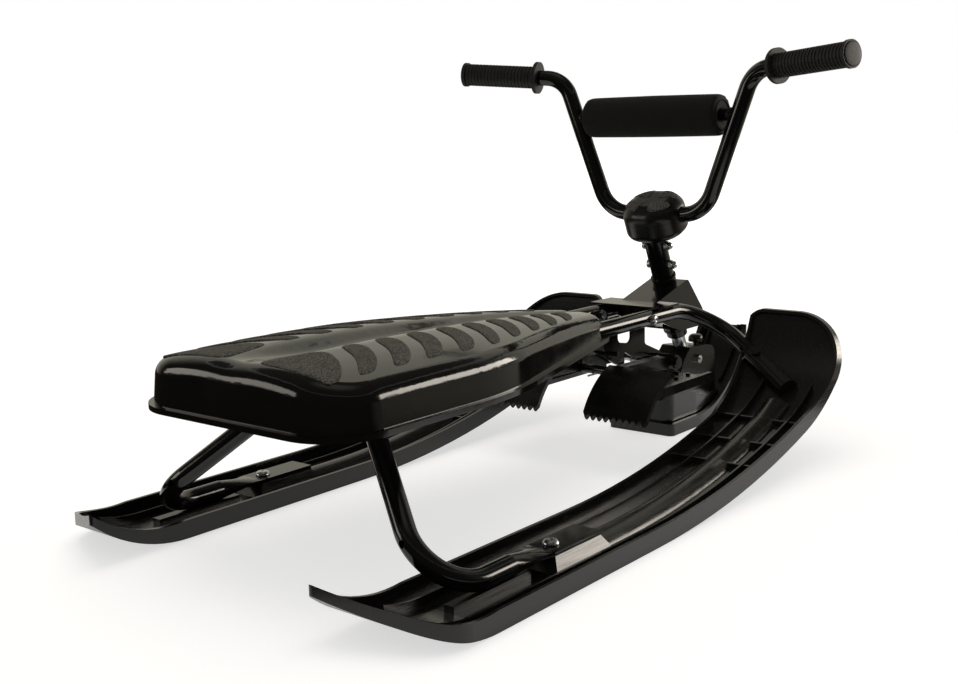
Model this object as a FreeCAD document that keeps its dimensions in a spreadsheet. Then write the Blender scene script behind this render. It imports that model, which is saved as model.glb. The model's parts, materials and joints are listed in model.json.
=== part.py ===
"""Steering sled: two side skis under a bent tube frame, a seat, a foot brake and a steered front ski.

The frame is x to the right, y forward and z up, in millimetres. The origin is on the ground under the
middle of the sled. Driving sizes are in the spreadsheet called sizes; everything else follows from them.
"""
import FreeCAD, Part
import math
import os
from FreeCAD import Placement, Rotation, Vector

SIZES = [
    # Side skis
    ("ski_offset", 216.5, "middle of the sled to the middle of a side ski"),
    ("ski_width", 117, "width of a side ski"),
    ("ski_rim", 21, "height of the rim above the sole"),
    ("tip_rim", 7, "height of the rim at the tip"),
    ("tail_rim", 5, "height of the rim at the tail"),
    ("ski_floor", 4, "thickness of the ski floor"),
    ("ski_wall", 4, "thickness of the ski rim"),
    ("tail_y", -528.6, "rear end of the inner edge"),
    ("tail_slant", 50, "how much shorter the outer edge is at the tail"),
    ("tail_radius", 175, "upward curl of the tail"),
    ("tail_steep", 56, "steepest slope of the tail, degrees"),
    ("flat_rear", -408, "rear end of the flat sole"),
    ("flat_front", -138, "front end of the flat sole"),
    ("bend_radius", 1285, "first upward bend"),
    ("bend_end", 215, "where the tip bend starts"),
    ("tip_radius", 250, "second upward bend"),
    ("tip_steep", 64, "steepest slope of the tip, degrees"),
    ("tip_y", 370, "front end of the tip"),
    ("tip_flare", 36, "how far the tip widens towards the middle of the sled"),
    ("flare_start", 185, "where the inner edge starts to flare"),
    ("tip_round", 82, "radius of the outer corner of the tip, seen from in front"),
    ("tip_corner", 22, "radius of the inner corner of the tip, seen from in front"),
    ("tip_trim", 1.5, "how far below the end of the sole the tip is trimmed"),
    ("tail_corner", 52, "radius of the outer corner of the tail"),
    ("tail_inner", 5, "radius of the inner corner of the tail"),
    ("hump_slope", 11, "how far the foot of the boss under the tube stands out"),
    ("cradle_width", 12, "width of the cradle under the tube's rear run"),
    ("socket_round", 14, "outer radius of the round socket near the tip"),
    ("rib_height", 8, "height of the long ribs above the floor"),
    ("rib_thick", 2.5, "thickness of the ribs"),
    ("rib_gap", 34, "distance of the inner ribs from the ski's middle"),
    ("ridge_width", 38, "width of the stiffening ridge along the front half"),
    ("ridge_height", 11, "height of the ridge above the floor"),
    ("rung_start", 92, "where the rungs start"),
    ("rung_pitch", 60, "distance between cross rungs on the upturned front"),
    # Frame tubes
    ("tube_d", 22, "outer diameter of the frame tube"),
    ("tube_wall", 2, "wall of the frame tube"),
    ("spine_half", 43, "middle of the sled to the middle of a spine tube"),
    ("spine_z", 175, "height of the spine tubes"),
    ("foot_y", -437, "rear corner of the tube on the ski"),
    ("foot_z", 22, "height of the tube's middle on the ski"),
    ("leg_top_y", -333, "corner from leg to spine"),
    ("bow_y", 306, "front corner of the spine"),
    ("bow_out_x", 84, "second front corner, from the middle"),
    ("bow_out_y", 354, "second front corner, along the sled"),
    ("bow_out_z", 149, "height of the second front corner"),
    ("foot_bend", 52, "bend radius at the ski"),
    ("leg_bend", 60, "bend radius under the seat"),
    ("bow_bend", 56, "bend radius at both front corners"),
    ("tab_width", 34, "width of a flattened tube end"),
    ("tab_thick", 5, "thickness of a flattened tube end"),
    ("rear_tab_length", 106, "length of the rear flattened end"),
    ("rear_tab_end", -186, "front end of the rear flattened end"),
    ("rear_taper", 26, "half length of the taper to the rear flattened end"),
    ("tip_taper", 9, "half length of the taper to the front flattened end"),
    ("tip_tab_length", 92, "length of the front flattened end"),
    ("tip_tab_width", 20, "width of the front flattened end"),
    ("tip_tab_y", 285, "where the front flattened end stops"),
    ("leg_hole", 8, "drain hole at the bend"),
    # Fasteners
    ("ski_screw_y", -250, "place of the screw in the rear flattened end"),
    ("screw_d", 6, "thread of the frame screws"),
    ("screw_head_d", 13, "head of the frame screws"),
    ("screw_head", 4, "height of a screw head"),
    ("fit", 0.3, "clearance between loose pieces"),
    ("run_fit", 0.1, "radial clearance of a running fit"),
    # Seat
    ("seat_half", 152, "half width of the seat shell"),
    ("seat_rear", -476, "rear of the seat shell"),
    ("seat_waist", -222, "where the seat starts to taper"),
    ("seat_nose", 116, "front of the seat shell"),
    ("nose_half", 46, "half width of the seat's nose"),
    ("seat_rim_z", 162, "height of the seat's lower rim"),
    ("seat_rear_z", 222, "height of the seat's lanes at the rear"),
    ("seat_mid_z", 222, "height of the lanes halfway"),
    ("seat_nose_z", 195, "height of the lanes at the nose"),
    ("lane_x", 36, "crest of a seat lane from the middle, at the wide end"),
    ("lane_rise", 9, "height of a lane's crest above the trough"),
    ("lane_run", 110, "length over which the trough deepens from the seat's rear"),
    ("lane_fall", 16.5, "fall from a lane's crest to the seat's side"),
    ("seat_wall", 3.5, "wall of the seat shell"),
    ("seat_edge", 20, "rounding of the seat's top edge"),
    ("seat_corner", 60, "rounding of the seat's rear corners"),
    ("lip_width", 5, "width of the lip round the rim"),
    ("lip_height", 6, "height of the lip"),
    ("strap_front_y", -20, "front seat strap"),
    ("strap_rear_y", -280, "rear seat strap"),
    ("strap_width", 34, "seat strap, along the sled"),
    ("strap_thick", 3, "thickness of a seat strap"),
    ("strap_half", 66, "half length of a seat strap"),
    ("boss_x", 22, "seat screws from the middle"),
    ("boss_d", 16, "seat screw boss"),
    # Head bracket
    ("lean", 24, "lean of the steering axis, degrees"),
    ("axis_y", 427, "where the steering axis meets the ground"),
    ("plate_thick", 3, "sheet of the head bracket"),
    ("cheek_gap", 3, "space from the bracket's side to the spine tube"),
    ("flange_rear", 226, "rear edge of the bracket's flange"),
    ("flange_front", 278, "front edge of the bracket's flange"),
    ("flange_over", 2, "how far the bracket's flange reaches past the tubes"),
    ("apex_ahead", 17.8, "top corner of the bracket's side, ahead of the axis"),
    ("apex_z", 213, "height of that corner"),
    ("chin_ahead", 42.2, "front corner of the bracket's side, ahead of the axis"),
    ("chin_z", 160, "height of that corner"),
    ("chin_drop", 20, "how far the bracket's lower edge lies under that corner"),
    ("chin_back", 18, "how far the lower edge starts behind that corner"),
    ("base_length", 50, "length of the bracket's lower edge"),
    ("cheek_corner", 8, "rounding of the bracket's corners"),
    ("head_low", 152, "lower end of the head tube along the axis"),
    ("head_high", 236, "upper end of the head tube along the axis"),
    ("head_d", 34, "outer diameter of the head tube"),
    ("head_bore", 29, "bore of the head tube"),
    ("shaft_d", 20, "steering shaft"),
    ("bush_depth", 14, "how far a bush reaches into the head tube"),
    ("bush_flange", 3, "flange of a bush"),
    ("bush_over", 1, "how far a bush flange stands out past the head tube"),
    ("collar_step", 2, "how far the collar stands in from the head tube"),
    # Steering column and handlebar
    ("shaft_low", 78, "lower end of the shaft along the axis"),
    ("shaft_inset", 4, "how far the shaft ends below the top of the stem"),
    ("stem_d", 31, "stem tube"),
    ("stem_bolt_rise", 22, "lower stem bolt above the head tube"),
    ("stem_bolt_gap", 31, "distance between the stem bolts"),
    ("bar_d", 22, "handlebar tube"),
    ("bar_wall", 2, "wall of the handlebar tube"),
    ("bar_z", 309, "handlebar's lower run"),
    ("bar_ahead", 18.6, "handlebar's lower run, ahead of the axis"),
    ("bar_low_half", 78, "lower corner of the handlebar"),
    ("bar_high_half", 151, "upper corner of the handlebar"),
    ("bar_high_z", 501, "height of the upper corner"),
    ("bar_rake", 5, "how far the upper corner lies behind the lower run"),
    ("bar_end_half", 299, "end of the handlebar tube"),
    ("bar_sweep", 42, "how far the handlebar's end lies behind the upper corner"),
    ("bar_end_z", 512.5, "height of the handlebar's end"),
    ("bar_low_bend", 48, "bend radius of the lower corners"),
    ("bar_high_bend", 40, "bend radius of the upper corners"),
    ("grip_length", 119, "length of a grip"),
    ("grip_d", 30, "diameter of a grip"),
    ("grip_flange_d", 46, "flange of a grip"),
    ("grip_flange", 5, "thickness of the flange"),
    ("grip_cap", 4, "end wall of a grip"),
    ("grip_knob", 2.5, "how far the outer end of a grip stands out"),
    ("grip_rings", 20, "rings along a grip"),
    ("grip_ring", 1, "height of a ring"),
    ("cross_z", 444, "height of the crossbar"),
    ("cross_d", 16, "crossbar"),
    ("pad_gap", 0.7, "space from the bar pad's end to the handlebar"),
    ("pad_d", 58, "diameter of the bar pad"),
    ("clamp_half", 20, "half width of the bar clamp"),
    ("clamp_depth", 40, "bar clamp along the sled"),
    ("clamp_cap", 5, "clamp cap above the bar"),
    ("clamp_drop", 20, "clamp block below the bar"),
    ("console_half", 44, "half width of the console"),
    ("console_depth", 80, "console along the sled"),
    ("console_back", 2, "middle of the console, behind the bar"),
    ("console_drop", 29, "bottom of the console, below the bar"),
    ("console_rise", 24, "top of the console, above the bar"),
    ("console_wall", 2.5, "wall of the console"),
    ("console_corner", 38, "corner radius of the console"),
    ("console_dome", 20, "rounding of the console's top"),
    # Steering ski
    ("front_half", 53, "half width of the steering ski"),
    ("front_tip_half", 40, "half width at its tip"),
    ("front_rear", 266, "rear of the steering ski"),
    ("front_flat", 350, "front end of its flat sole"),
    ("front_radius", 190, "upward bend of its tip"),
    ("front_steep", 70, "steepest slope of its tip, degrees"),
    ("front_tip", 526, "front end of its tip"),
    ("front_sole", 6, "thickness of its sole"),
    ("front_rim", 17, "height of its rim"),
    ("front_corner", 8, "rounding of its rear corners"),
    ("front_side", 200, "rounding of its sides"),
    ("front_round", 22, "rounding of its tip corners"),
    ("saddle_half", 44, "half width of the saddle"),
    ("saddle_rear", 274, "rear of the saddle"),
    ("saddle_z", 58, "height of the saddle's deck"),
    ("saddle_wall", 4, "wall of the saddle"),
    ("tower_half", 24, "half width of the saddle's tower"),
    ("tower_z", 106, "height of the tower"),
    ("tower_back", 29.8, "rear of the tower, behind the axis at its top"),
    ("tower_ahead", 60.2, "front of the tower, ahead of the axis at its top"),
    ("cross_bolt", 98, "cross bolt along the axis"),
    ("knob_d", 22, "knob of the upright bolt"),
    # Brake
    ("brake_y", 262, "brake pivot"),
    ("brake_z", 108, "height of the brake pivot"),
    ("brake_shaft_d", 10, "brake pivot shaft"),
    ("brake_half", 62, "half length of the pivot shaft"),
    ("hanger_thick", 3.5, "thickness of the hanger's sides"),
    ("post_gap", 5, "space from the seat's nose to the rear post of the hanger"),
    ("post_front_y", 194, "front post of the hanger"),
    ("post_width", 34, "width of a post"),
    ("hanger_rear_z", 143, "underside of the hanger at the rear"),
    ("hanger_rail", 12, "depth of the hanger's lower rail"),
    ("claw_inner", 36, "inner edge of a claw"),
    ("claw_outer", 131, "outer edge of a claw"),
    ("claw_top_y", 134, "top of a claw"),
    ("claw_top_z", 121, "height of a claw's top"),
    ("claw_edge_y", 70, "toothed edge of a claw"),
    ("claw_edge_z", 64, "height of the toothed edge"),
    ("claw_thick", 6, "thickness of a claw"),
    ("claw_bulge", 9, "how far a claw bulges to the rear"),
    ("tooth_count", 10, "teeth on a claw"),
    ("tooth_depth", 7, "depth of a tooth"),
    ("foot_plate_inner", 56, "inner edge of a foot plate"),
    ("foot_plate_front", 236, "front edge of a foot plate"),
    ("foot_plate_z", 101, "top of a foot plate"),
    ("foot_plate_thick", 6, "thickness of a foot plate"),
    ("stud_rows", 4, "rows of studs on a foot plate"),
    ("stud_height", 3, "height of a stud"),
    ("stud_edge", 10, "studs from the front edge of the foot plate"),
    ("stud_start", 40, "studs from the claw"),
    ("arm_corner", 4, "rounding of a pedal's arm"),
    ("hub_d", 22, "hub of a pedal"),
    ("link_d", 12, "rod that joins the pedals"),
    ("link_y", 170, "place of that rod"),
    ("spring_wire", 2.5, "wire of the return spring"),
    ("spring_coil", 18, "return spring, middle of its coils"),
    ("spring_turns", 6, "turns of the return spring"),
    ("spring_pitch", 3.2, "rise of the return spring per turn"),
]

UP = Vector(0, 0, 1)
RIGHT = Vector(1, 0, 0)
FORWARD = Vector(0, 1, 0)

doc = FreeCAD.newDocument("steering_sled")
sheet = doc.addObject("Spreadsheet::Sheet", "sizes")
for row, (alias, number, meaning) in enumerate(SIZES, start=1):
    sheet.set("A%d" % row, meaning)
    sheet.set("B%d" % row, str(number))
    sheet.setAlias("B%d" % row, alias)
doc.recompute()

nodes = []


def size(alias):
    """The number in a cell of the sheet."""
    return float(sheet.get(alias))


def keep(obj, label):
    """Name an object as a finished piece."""
    obj.Label = label
    nodes.append(obj)
    return obj


def solid(label, shape):
    """A finished piece from a shape worked out in this script."""
    piece = doc.addObject("Part::Feature", label)
    piece.Shape = shape
    return keep(piece, label)


def rod(name, radius, length, base, axis):
    """A cylinder whose radius and length are expressions on the sheet."""
    piece = doc.addObject("Part::Cylinder", name)
    piece.setExpression("Radius", radius)
    piece.setExpression("Height", length)
    piece.Placement = Placement(base, Rotation(UP, axis))
    return piece


def cut(name, base, tool):
    """Base minus tool."""
    piece = doc.addObject("Part::Cut", name)
    piece.Base = base
    piece.Tool = tool
    return piece


def fuse(name, shapes):
    """Several shapes as one solid."""
    piece = doc.addObject("Part::MultiFuse", name)
    piece.Shapes = shapes
    return piece


def group(name, links):
    """Several separate solids under one name."""
    piece = doc.addObject("Part::Compound", name)
    piece.Links = links
    return piece


def rounded(corners):
    """Edges of a closed outline: straight runs between (a, b, radius) corners, with arcs at the corners."""
    count = len(corners)
    points = [Vector(a, b, 0) for a, b, _ in corners]
    starts, ends, arcs = [], [], []
    for i, (a, b, radius) in enumerate(corners):
        into = (points[i] - points[i - 1]).normalize()
        out = (points[(i + 1) % count] - points[i]).normalize()
        turn = into.getAngle(out)
        if radius <= 0:
            starts.append(points[i])
            ends.append(points[i])
            continue
        reach = radius * math.tan(turn / 2)
        first = points[i] - into * reach
        last = points[i] + out * reach
        middle = points[i] + (out - into).normalize() * radius * (1 / math.cos(turn / 2) - 1)
        starts.append(first)
        ends.append(last)
        arcs.append(Part.Arc(first, middle, last))
    runs = [Part.LineSegment(ends[i - 1], starts[i]) for i in range(count)
            if (ends[i - 1] - starts[i]).Length > 1e-4]
    return runs + arcs


def outline_face(corners):
    """A flat face in x and y inside a rounded outline."""
    edges = [curve.toShape() for curve in rounded(corners)]
    return Part.Face(Part.Wire(Part.__sortEdges__(edges)))


def plate(label, role, corners, thick, offset=0.0):
    """A body with one sketched outline on an origin plane, padded to a bound thickness."""
    body = doc.addObject("PartDesign::Body", label)
    plane = [item for item in body.Origin.OriginFeatures if item.Role == role][0]
    sketch = body.newObject("Sketcher::SketchObject", label + "_outline")
    sketch.AttachmentSupport = [(plane, "")]
    sketch.MapMode = "FlatFace"
    sketch.AttachmentOffset = Placement(Vector(0, 0, offset), Rotation())
    sketch.addGeometry(rounded(corners), False)
    pad = body.newObject("PartDesign::Pad", label + "_pad")
    pad.Profile = sketch
    pad.setExpression("Length", thick)
    return body


def bent_path(points, radii):
    """A wire of straight runs joined by tangent arcs, one radius for each inner corner."""
    edges = []
    start = points[0]
    for corner, before, after, radius in zip(points[1:-1], points[:-2], points[2:], radii):
        into = (corner - before).normalize()
        out = (after - corner).normalize()
        turn = into.getAngle(out)
        reach = radius * math.tan(turn / 2)
        first = corner - into * reach
        last = corner + out * reach
        middle = corner + (out - into).normalize() * radius * (1 / math.cos(turn / 2) - 1)
        edges.append(Part.LineSegment(start, first).toShape())
        edges.append(Part.Arc(first, middle, last).toShape())
        start = last
    edges.append(Part.LineSegment(start, points[-1]).toShape())
    return Part.Wire(edges)


def swept(path, radius):
    """A round bar along a path."""
    first = path.Edges[0]
    begin = first.valueAt(first.FirstParameter)
    heading = first.tangentAt(first.FirstParameter)
    circle = Part.Wire(Part.Circle(begin, heading, radius).toShape())
    return path.makePipeShell([circle], True, False)


def block(origin, along, across, length, width, height):
    """A box from the middle of one end: length along, width across and height on the third axis."""
    along = Vector(along).normalize()
    third = along.cross(across).normalize()
    side = third.cross(along).normalize()
    frame = FreeCAD.Matrix(along.x, side.x, third.x, origin.x,
                           along.y, side.y, third.y, origin.y,
                           along.z, side.z, third.z, origin.z,
                           0, 0, 0, 1)
    box = Part.makeBox(length, width, height, Vector(0, -width / 2, -height / 2))
    return box.transformed(frame)


def mirrored(shape):
    """The same shape on the other side of the sled."""
    return shape.mirror(Vector(0, 0, 0), RIGHT)


def pair(name, make):
    """The right piece and its mirror image, as left_NAME and right_NAME."""
    shape = make()
    solid("right_" + name, shape)
    solid("left_" + name, mirrored(shape))


def on_axis(height, forward=0.0, side=0.0):
    """A point at a height along the leaning steering axis."""
    return steering.multVec(Vector(side, forward, height))


steering = Placement(Vector(0, size("axis_y"), 0), Rotation(RIGHT, size("lean")))
steer_up = steering.Rotation.multVec(UP)
steer_front = steering.Rotation.multVec(FORWARD)


def axis_at(z):
    """Where the steering axis is along the sled at a height."""
    return size("axis_y") - z * math.tan(math.radians(size("lean")))


def curl(reach, radius, steepest):
    """Turn of an arc that reaches so far along the sled, and the straight run past its steepest slope."""
    limit = math.radians(steepest)
    bent = min(reach, radius * math.sin(limit))
    return math.asin(bent / radius), (reach - bent) / math.cos(limit)


# Side skis: a sole that curls up at both ends, with a rim, ribs, a ridge and rungs.

class Sole:
    """Side view of a ski sole. Lines at different heights above it share their arcs' centres."""

    def __init__(self):
        # The sole runs on past the tail, where the ski's outline trims it upright.
        self.tail_turn, self.tail_run = curl(size("flat_rear") - size("tail_y") + size("ski_rim"),
                                             size("tail_radius"), size("tail_steep"))
        self.bend_turn = math.asin((size("bend_end") - size("flat_front")) / size("bend_radius"))
        difference = size("bend_radius") - size("tip_radius")
        self.tip_centre = (size("flat_front") + difference * math.sin(self.bend_turn),
                           size("bend_radius") - difference * math.cos(self.bend_turn))
        self.tip_turn, self.tip_run = curl(size("tip_y") - self.tip_centre[0], size("tip_radius"),
                                           size("tip_steep"))

    def tail(self, turn, height):
        radius = size("tail_radius") - height
        return Vector(0, size("flat_rear") - radius * math.sin(turn),
                      size("tail_radius") - radius * math.cos(turn))

    def bend(self, turn, height):
        radius = size("bend_radius") - height
        return Vector(0, size("flat_front") + radius * math.sin(turn),
                      size("bend_radius") - radius * math.cos(turn))

    def tip(self, turn, height):
        radius = size("tip_radius") - height
        return Vector(0, self.tip_centre[0] + radius * math.sin(turn),
                      self.tip_centre[1] - radius * math.cos(turn))

    def tail_end(self, height):
        away = Vector(0, -math.cos(self.tail_turn), math.sin(self.tail_turn))
        return self.tail(self.tail_turn, height) + away * self.tail_run

    def tip_end(self, height):
        away = Vector(0, math.cos(self.tip_turn), math.sin(self.tip_turn))
        return self.tip(self.tip_turn, height) + away * self.tip_run

    def tip_at(self, y):
        """Turn of the tip arc above a place along the sled."""
        return math.asin((y - self.tip_centre[0]) / size("tip_radius"))

    def line(self, height, tip_height, tail_height):
        """Edges from the tail to the tip at one height above the sole, with other heights at the ends."""
        half_tail = self.tail_turn / 2
        half_bend = self.bend_turn / 2
        half_tip = (self.bend_turn + self.tip_turn) / 2
        curves = [
            Part.Arc(self.tail(self.tail_turn, tail_height),
                     self.tail(half_tail, (height + tail_height) / 2), self.tail(0, height)),
            Part.LineSegment(self.tail(0, height), self.bend(0, height)),
            Part.Arc(self.bend(0, height), self.bend(half_bend, height), self.bend(self.bend_turn, height)),
            Part.Arc(self.tip(self.bend_turn, height), self.tip(half_tip, (height + tip_height) / 2),
                     self.tip(self.tip_turn, tip_height)),
        ]
        if self.tail_run > 0:
            curves.append(Part.LineSegment(self.tail_end(tail_height),
                                           self.tail(self.tail_turn, tail_height)))
        if self.tip_run > 0:
            curves.append(Part.LineSegment(self.tip(self.tip_turn, tip_height), self.tip_end(tip_height)))
        return curves

    def band(self, low, high, left, right, tip_high=None, tail_high=None):
        """The space between two heights above the sole, from x = left to x = right."""
        tip_high = high if tip_high is None else tip_high
        tail_high = high if tail_high is None else tail_high
        below = self.line(low, low, low)
        above = self.line(high, tip_high, tail_high)
        ends = [Part.LineSegment(self.tail_end(low), self.tail_end(tail_high)),
                Part.LineSegment(self.tip_end(low), self.tip_end(tip_high))]
        edges = [curve.toShape() for curve in below + above + ends]
        face = Part.Face(Part.Wire(Part.__sortEdges__(edges)))
        face.translate(Vector(left, 0, 0))
        return face.extrude(Vector(right - left, 0, 0))


sole = Sole()


def ski_outline(inset, front):
    """Plan of the right ski, drawn in by inset, with its tip at front."""
    inner = size("ski_offset") - size("ski_width") / 2 + inset
    outer = size("ski_offset") + size("ski_width") / 2 - inset
    tail = size("tail_y") + inset
    return outline_face([
        (inner, tail, size("tail_inner")),
        (outer, tail + size("tail_slant"), size("tail_corner")),
        (outer, front, 0),
        (inner - size("tip_flare"), front, 0),
        (inner, size("flare_start"), 0),
    ])


def tip_arch(inset):
    """The space under the rounded top of the right ski's tip, which is rounded as seen from in front."""
    beside = size("fit") - inset
    inner = size("ski_offset") - size("ski_width") / 2 - size("tip_flare") - beside
    outer = size("ski_offset") + size("ski_width") / 2 + beside
    top = sole.tip_end(0).z - size("tip_trim") - inset
    face = outline_face([(inner, -1, 0), (outer, -1, 0), (outer, top, size("tip_round") - inset),
                         (inner, top, size("tip_corner") - inset)])
    face.rotate(Vector(), RIGHT, 90)
    face.translate(Vector(0, size("tip_y") + size("ski_rim"), 0))
    return face.extrude(Vector(0, size("tail_y") - size("tip_y") - 3 * size("ski_rim"), 0))


def tip_run():
    """Start, heading and width direction of the frame tube's front run, which lies on the ski."""
    corner = Vector(size("bow_out_x"), size("bow_out_y"), size("bow_out_z"))
    turn = sole.tip_at(size("tip_tab_y"))
    rest = sole.tip(turn, size("ski_floor") + size("tab_thick") / 2 + size("fit"))
    end = rest + Vector(size("ski_offset"), 0, 0)
    heading = (end - corner).normalize()
    normal = Vector(0, -math.sin(turn), math.cos(turn))
    across = normal.cross(heading).normalize()
    return corner, end, heading, across


def make_ridge(middle):
    """The half-round ridge that stiffens the ski from the tube's rear end to the front socket."""
    floor = size("ski_floor")
    start = Vector(0, size("rear_tab_end") + size("fit"), floor)
    last = sole.tip_at(size("tip_tab_y") - 2 * size("socket_round"))
    path = Part.Wire([
        Part.LineSegment(start, sole.bend(0, floor)).toShape(),
        Part.Arc(sole.bend(0, floor), sole.bend(sole.bend_turn / 2, floor),
                 sole.bend(sole.bend_turn, floor)).toShape(),
        Part.Arc(sole.tip(sole.bend_turn, floor), sole.tip((sole.bend_turn + last) / 2, floor),
                 sole.tip(last, floor)).toShape()])
    half, high, sunk = size("ridge_width") / 2, size("ridge_height"), floor / 2
    left, right = start + Vector(-half, 0, 0), start + Vector(half, 0, 0)
    profile = Part.Wire([
        Part.Arc(left, start + UP * high, right).toShape(),
        Part.LineSegment(right, right - UP * sunk).toShape(),
        Part.LineSegment(right - UP * sunk, left - UP * sunk).toShape(),
        Part.LineSegment(left - UP * sunk, left).toShape()])
    ridge = path.makePipeShell([profile], True, False)
    ridge.translate(RIGHT * middle)
    return ridge


def make_ski():
    """The right ski in one moulding."""
    inner = size("ski_offset") - size("ski_width") / 2 - size("tip_flare")
    outer = size("ski_offset") + size("ski_width") / 2
    middle = size("ski_offset")
    floor = size("ski_floor")
    tall = 2 * size("tip_radius")
    # The plan goes on past the sole's end, and the arch gives the tip its outline.
    front = size("tip_y") + size("ski_wall")
    column = ski_outline(0, front).extrude(UP * (tall + 1))
    column.translate(UP * -1)
    column = column.common(tip_arch(0))
    hollow = ski_outline(size("ski_wall"), front).extrude(UP * tall).common(tip_arch(size("ski_wall")))
    body = sole.band(0, size("ski_rim"), inner - 1, outer + 1, size("tip_rim"),
                     size("tail_rim")).common(column)
    inside = sole.band(floor, 2 * size("ski_rim"), inner, outer).common(hollow)
    body = body.cut(inside)

    added = []
    added.append(make_ridge(middle))
    _, tab_end, heading, across = tip_run()
    clear = block(tab_end + heading * size("ski_wall"), heading * -1, across,
                  size("tip_tab_length") + size("ski_width"), 2 * size("socket_round"), 4 * size("ski_rim"))
    rib_half = size("rib_thick") / 2
    ribbed = Part.makeBox(outer, size("tip_tab_y") - size("tail_y") - size("tail_radius") * 0.4, tall,
                          Vector(0, size("tail_y") + size("tail_radius") * 0.4, 0))
    for side in (-1, 1):
        place = middle + side * size("rib_gap")
        rib = sole.band(floor / 2, floor + size("rib_height"), place - rib_half, place + rib_half)
        added.append(rib.common(hollow).common(ribbed).cut(clear))
    rung_top = sole.band(floor / 2, floor + size("rib_height") * 0.8, inner, outer).common(hollow)
    rung = size("rung_start")
    while rung < size("tip_tab_y") - size("rung_pitch") / 2:
        slab = Part.makeBox(outer - inner, size("rib_thick"), tall, Vector(inner, rung, 0))
        added.append(rung_top.common(slab).cut(clear))
        rung += size("rung_pitch")

    # Bosses that carry the tube: a cradle under its rear run and a hump under its rear flattened end.
    cradle_top = size("foot_z") - size("tube_d") / 2
    tab_under = size("foot_z") - size("tab_thick") / 2
    rear_start = size("rear_tab_end") - size("rear_tab_length")
    cradle = Part.makeBox(size("cradle_width"), rear_start - size("flat_rear"), cradle_top - floor / 2,
                          Vector(middle - size("cradle_width") / 2, size("flat_rear"), floor / 2))
    hump_rear = rear_start + size("rear_taper")
    rings = []
    for spread, z in ((size("hump_slope"), floor / 2), (0, tab_under)):
        half = size("tab_width") / 2 + spread
        rear, ahead = hump_rear - spread, size("rear_tab_end") + spread
        corners = [Vector(middle + sx * half, y, z) for sx, y in
                   ((-1, rear), (1, rear), (1, ahead), (-1, ahead), (-1, rear))]
        rings.append(Part.makePolygon(corners))
    added += [cradle, Part.makeLoft(rings, True, True)]
    # A round socket near the tip takes the front flattened end; the round tube comes in by a notch.
    inside_long = size("tip_tab_length") - size("tip_taper") - size("fit")
    socket = Part.makeCylinder(size("socket_round"), inside_long + size("ski_wall"),
                               tab_end + heading * size("ski_wall"), heading * -1)
    reach = sole.band(floor / 2, floor + 2 * size("socket_round"), inner, outer).common(column)
    added.append(socket.common(reach))
    lift = heading.cross(across).normalize()
    slot = block(tab_end + heading * size("fit"), heading * -1, across, 2 * size("tip_tab_length"),
                 size("tip_tab_width") + 2 * size("fit"), size("tab_thick") + 2 * size("fit"))
    notch = Part.makeCylinder(size("tube_d") / 2 + size("fit"), size("ski_width"),
                              tab_end - heading * inside_long, heading * -1)
    body = body.multiFuse(added).removeSplitter()
    body = body.cut(slot.fuse(notch))

    # Holes for the screw and the tip bolt.
    screw = Part.makeCylinder(size("screw_d") / 2, tall, Vector(middle, size("ski_screw_y"), floor / 2), UP)
    bolt_at = tip_bolt_place()
    bolt = Part.makeCylinder(size("screw_d") / 2, 3 * size("socket_round"),
                             bolt_at - lift * (size("tab_thick") / 2 + floor), lift)
    return body.cut(screw.fuse(bolt)).removeSplitter()


def tip_bolt_place():
    """A point on the middle line of the front flattened end, where its bolt goes through the socket."""
    _, end, heading, _ = tip_run()
    return end - heading * (size("tip_tab_length") - size("tip_taper") - size("screw_head_d"))


# Frame tubes: one bent tube each side, flattened where it is screwed to the ski.

def flattened(start, heading, across, length, overlap, width):
    """A flattened tube end with the short taper from the round tube."""
    lift = heading.cross(across).normalize()
    begin = start - heading * overlap
    ring = Part.Wire(Part.Circle(begin, heading, size("tube_d") / 2).toShape())
    half_w, half_t = width / 2, size("tab_thick") / 2
    middle = start + heading * overlap
    corners = [middle + across * a * half_w + lift * b * half_t
               for a, b in ((1, 1), (-1, 1), (-1, -1), (1, -1))]
    flat = Part.makePolygon(corners + corners[:1])
    taper = Part.makeLoft([ring, flat], True, True)
    tab = block(middle, heading, across, length - overlap, width, size("tab_thick"))
    return taper.fuse(tab).removeSplitter()


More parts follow.
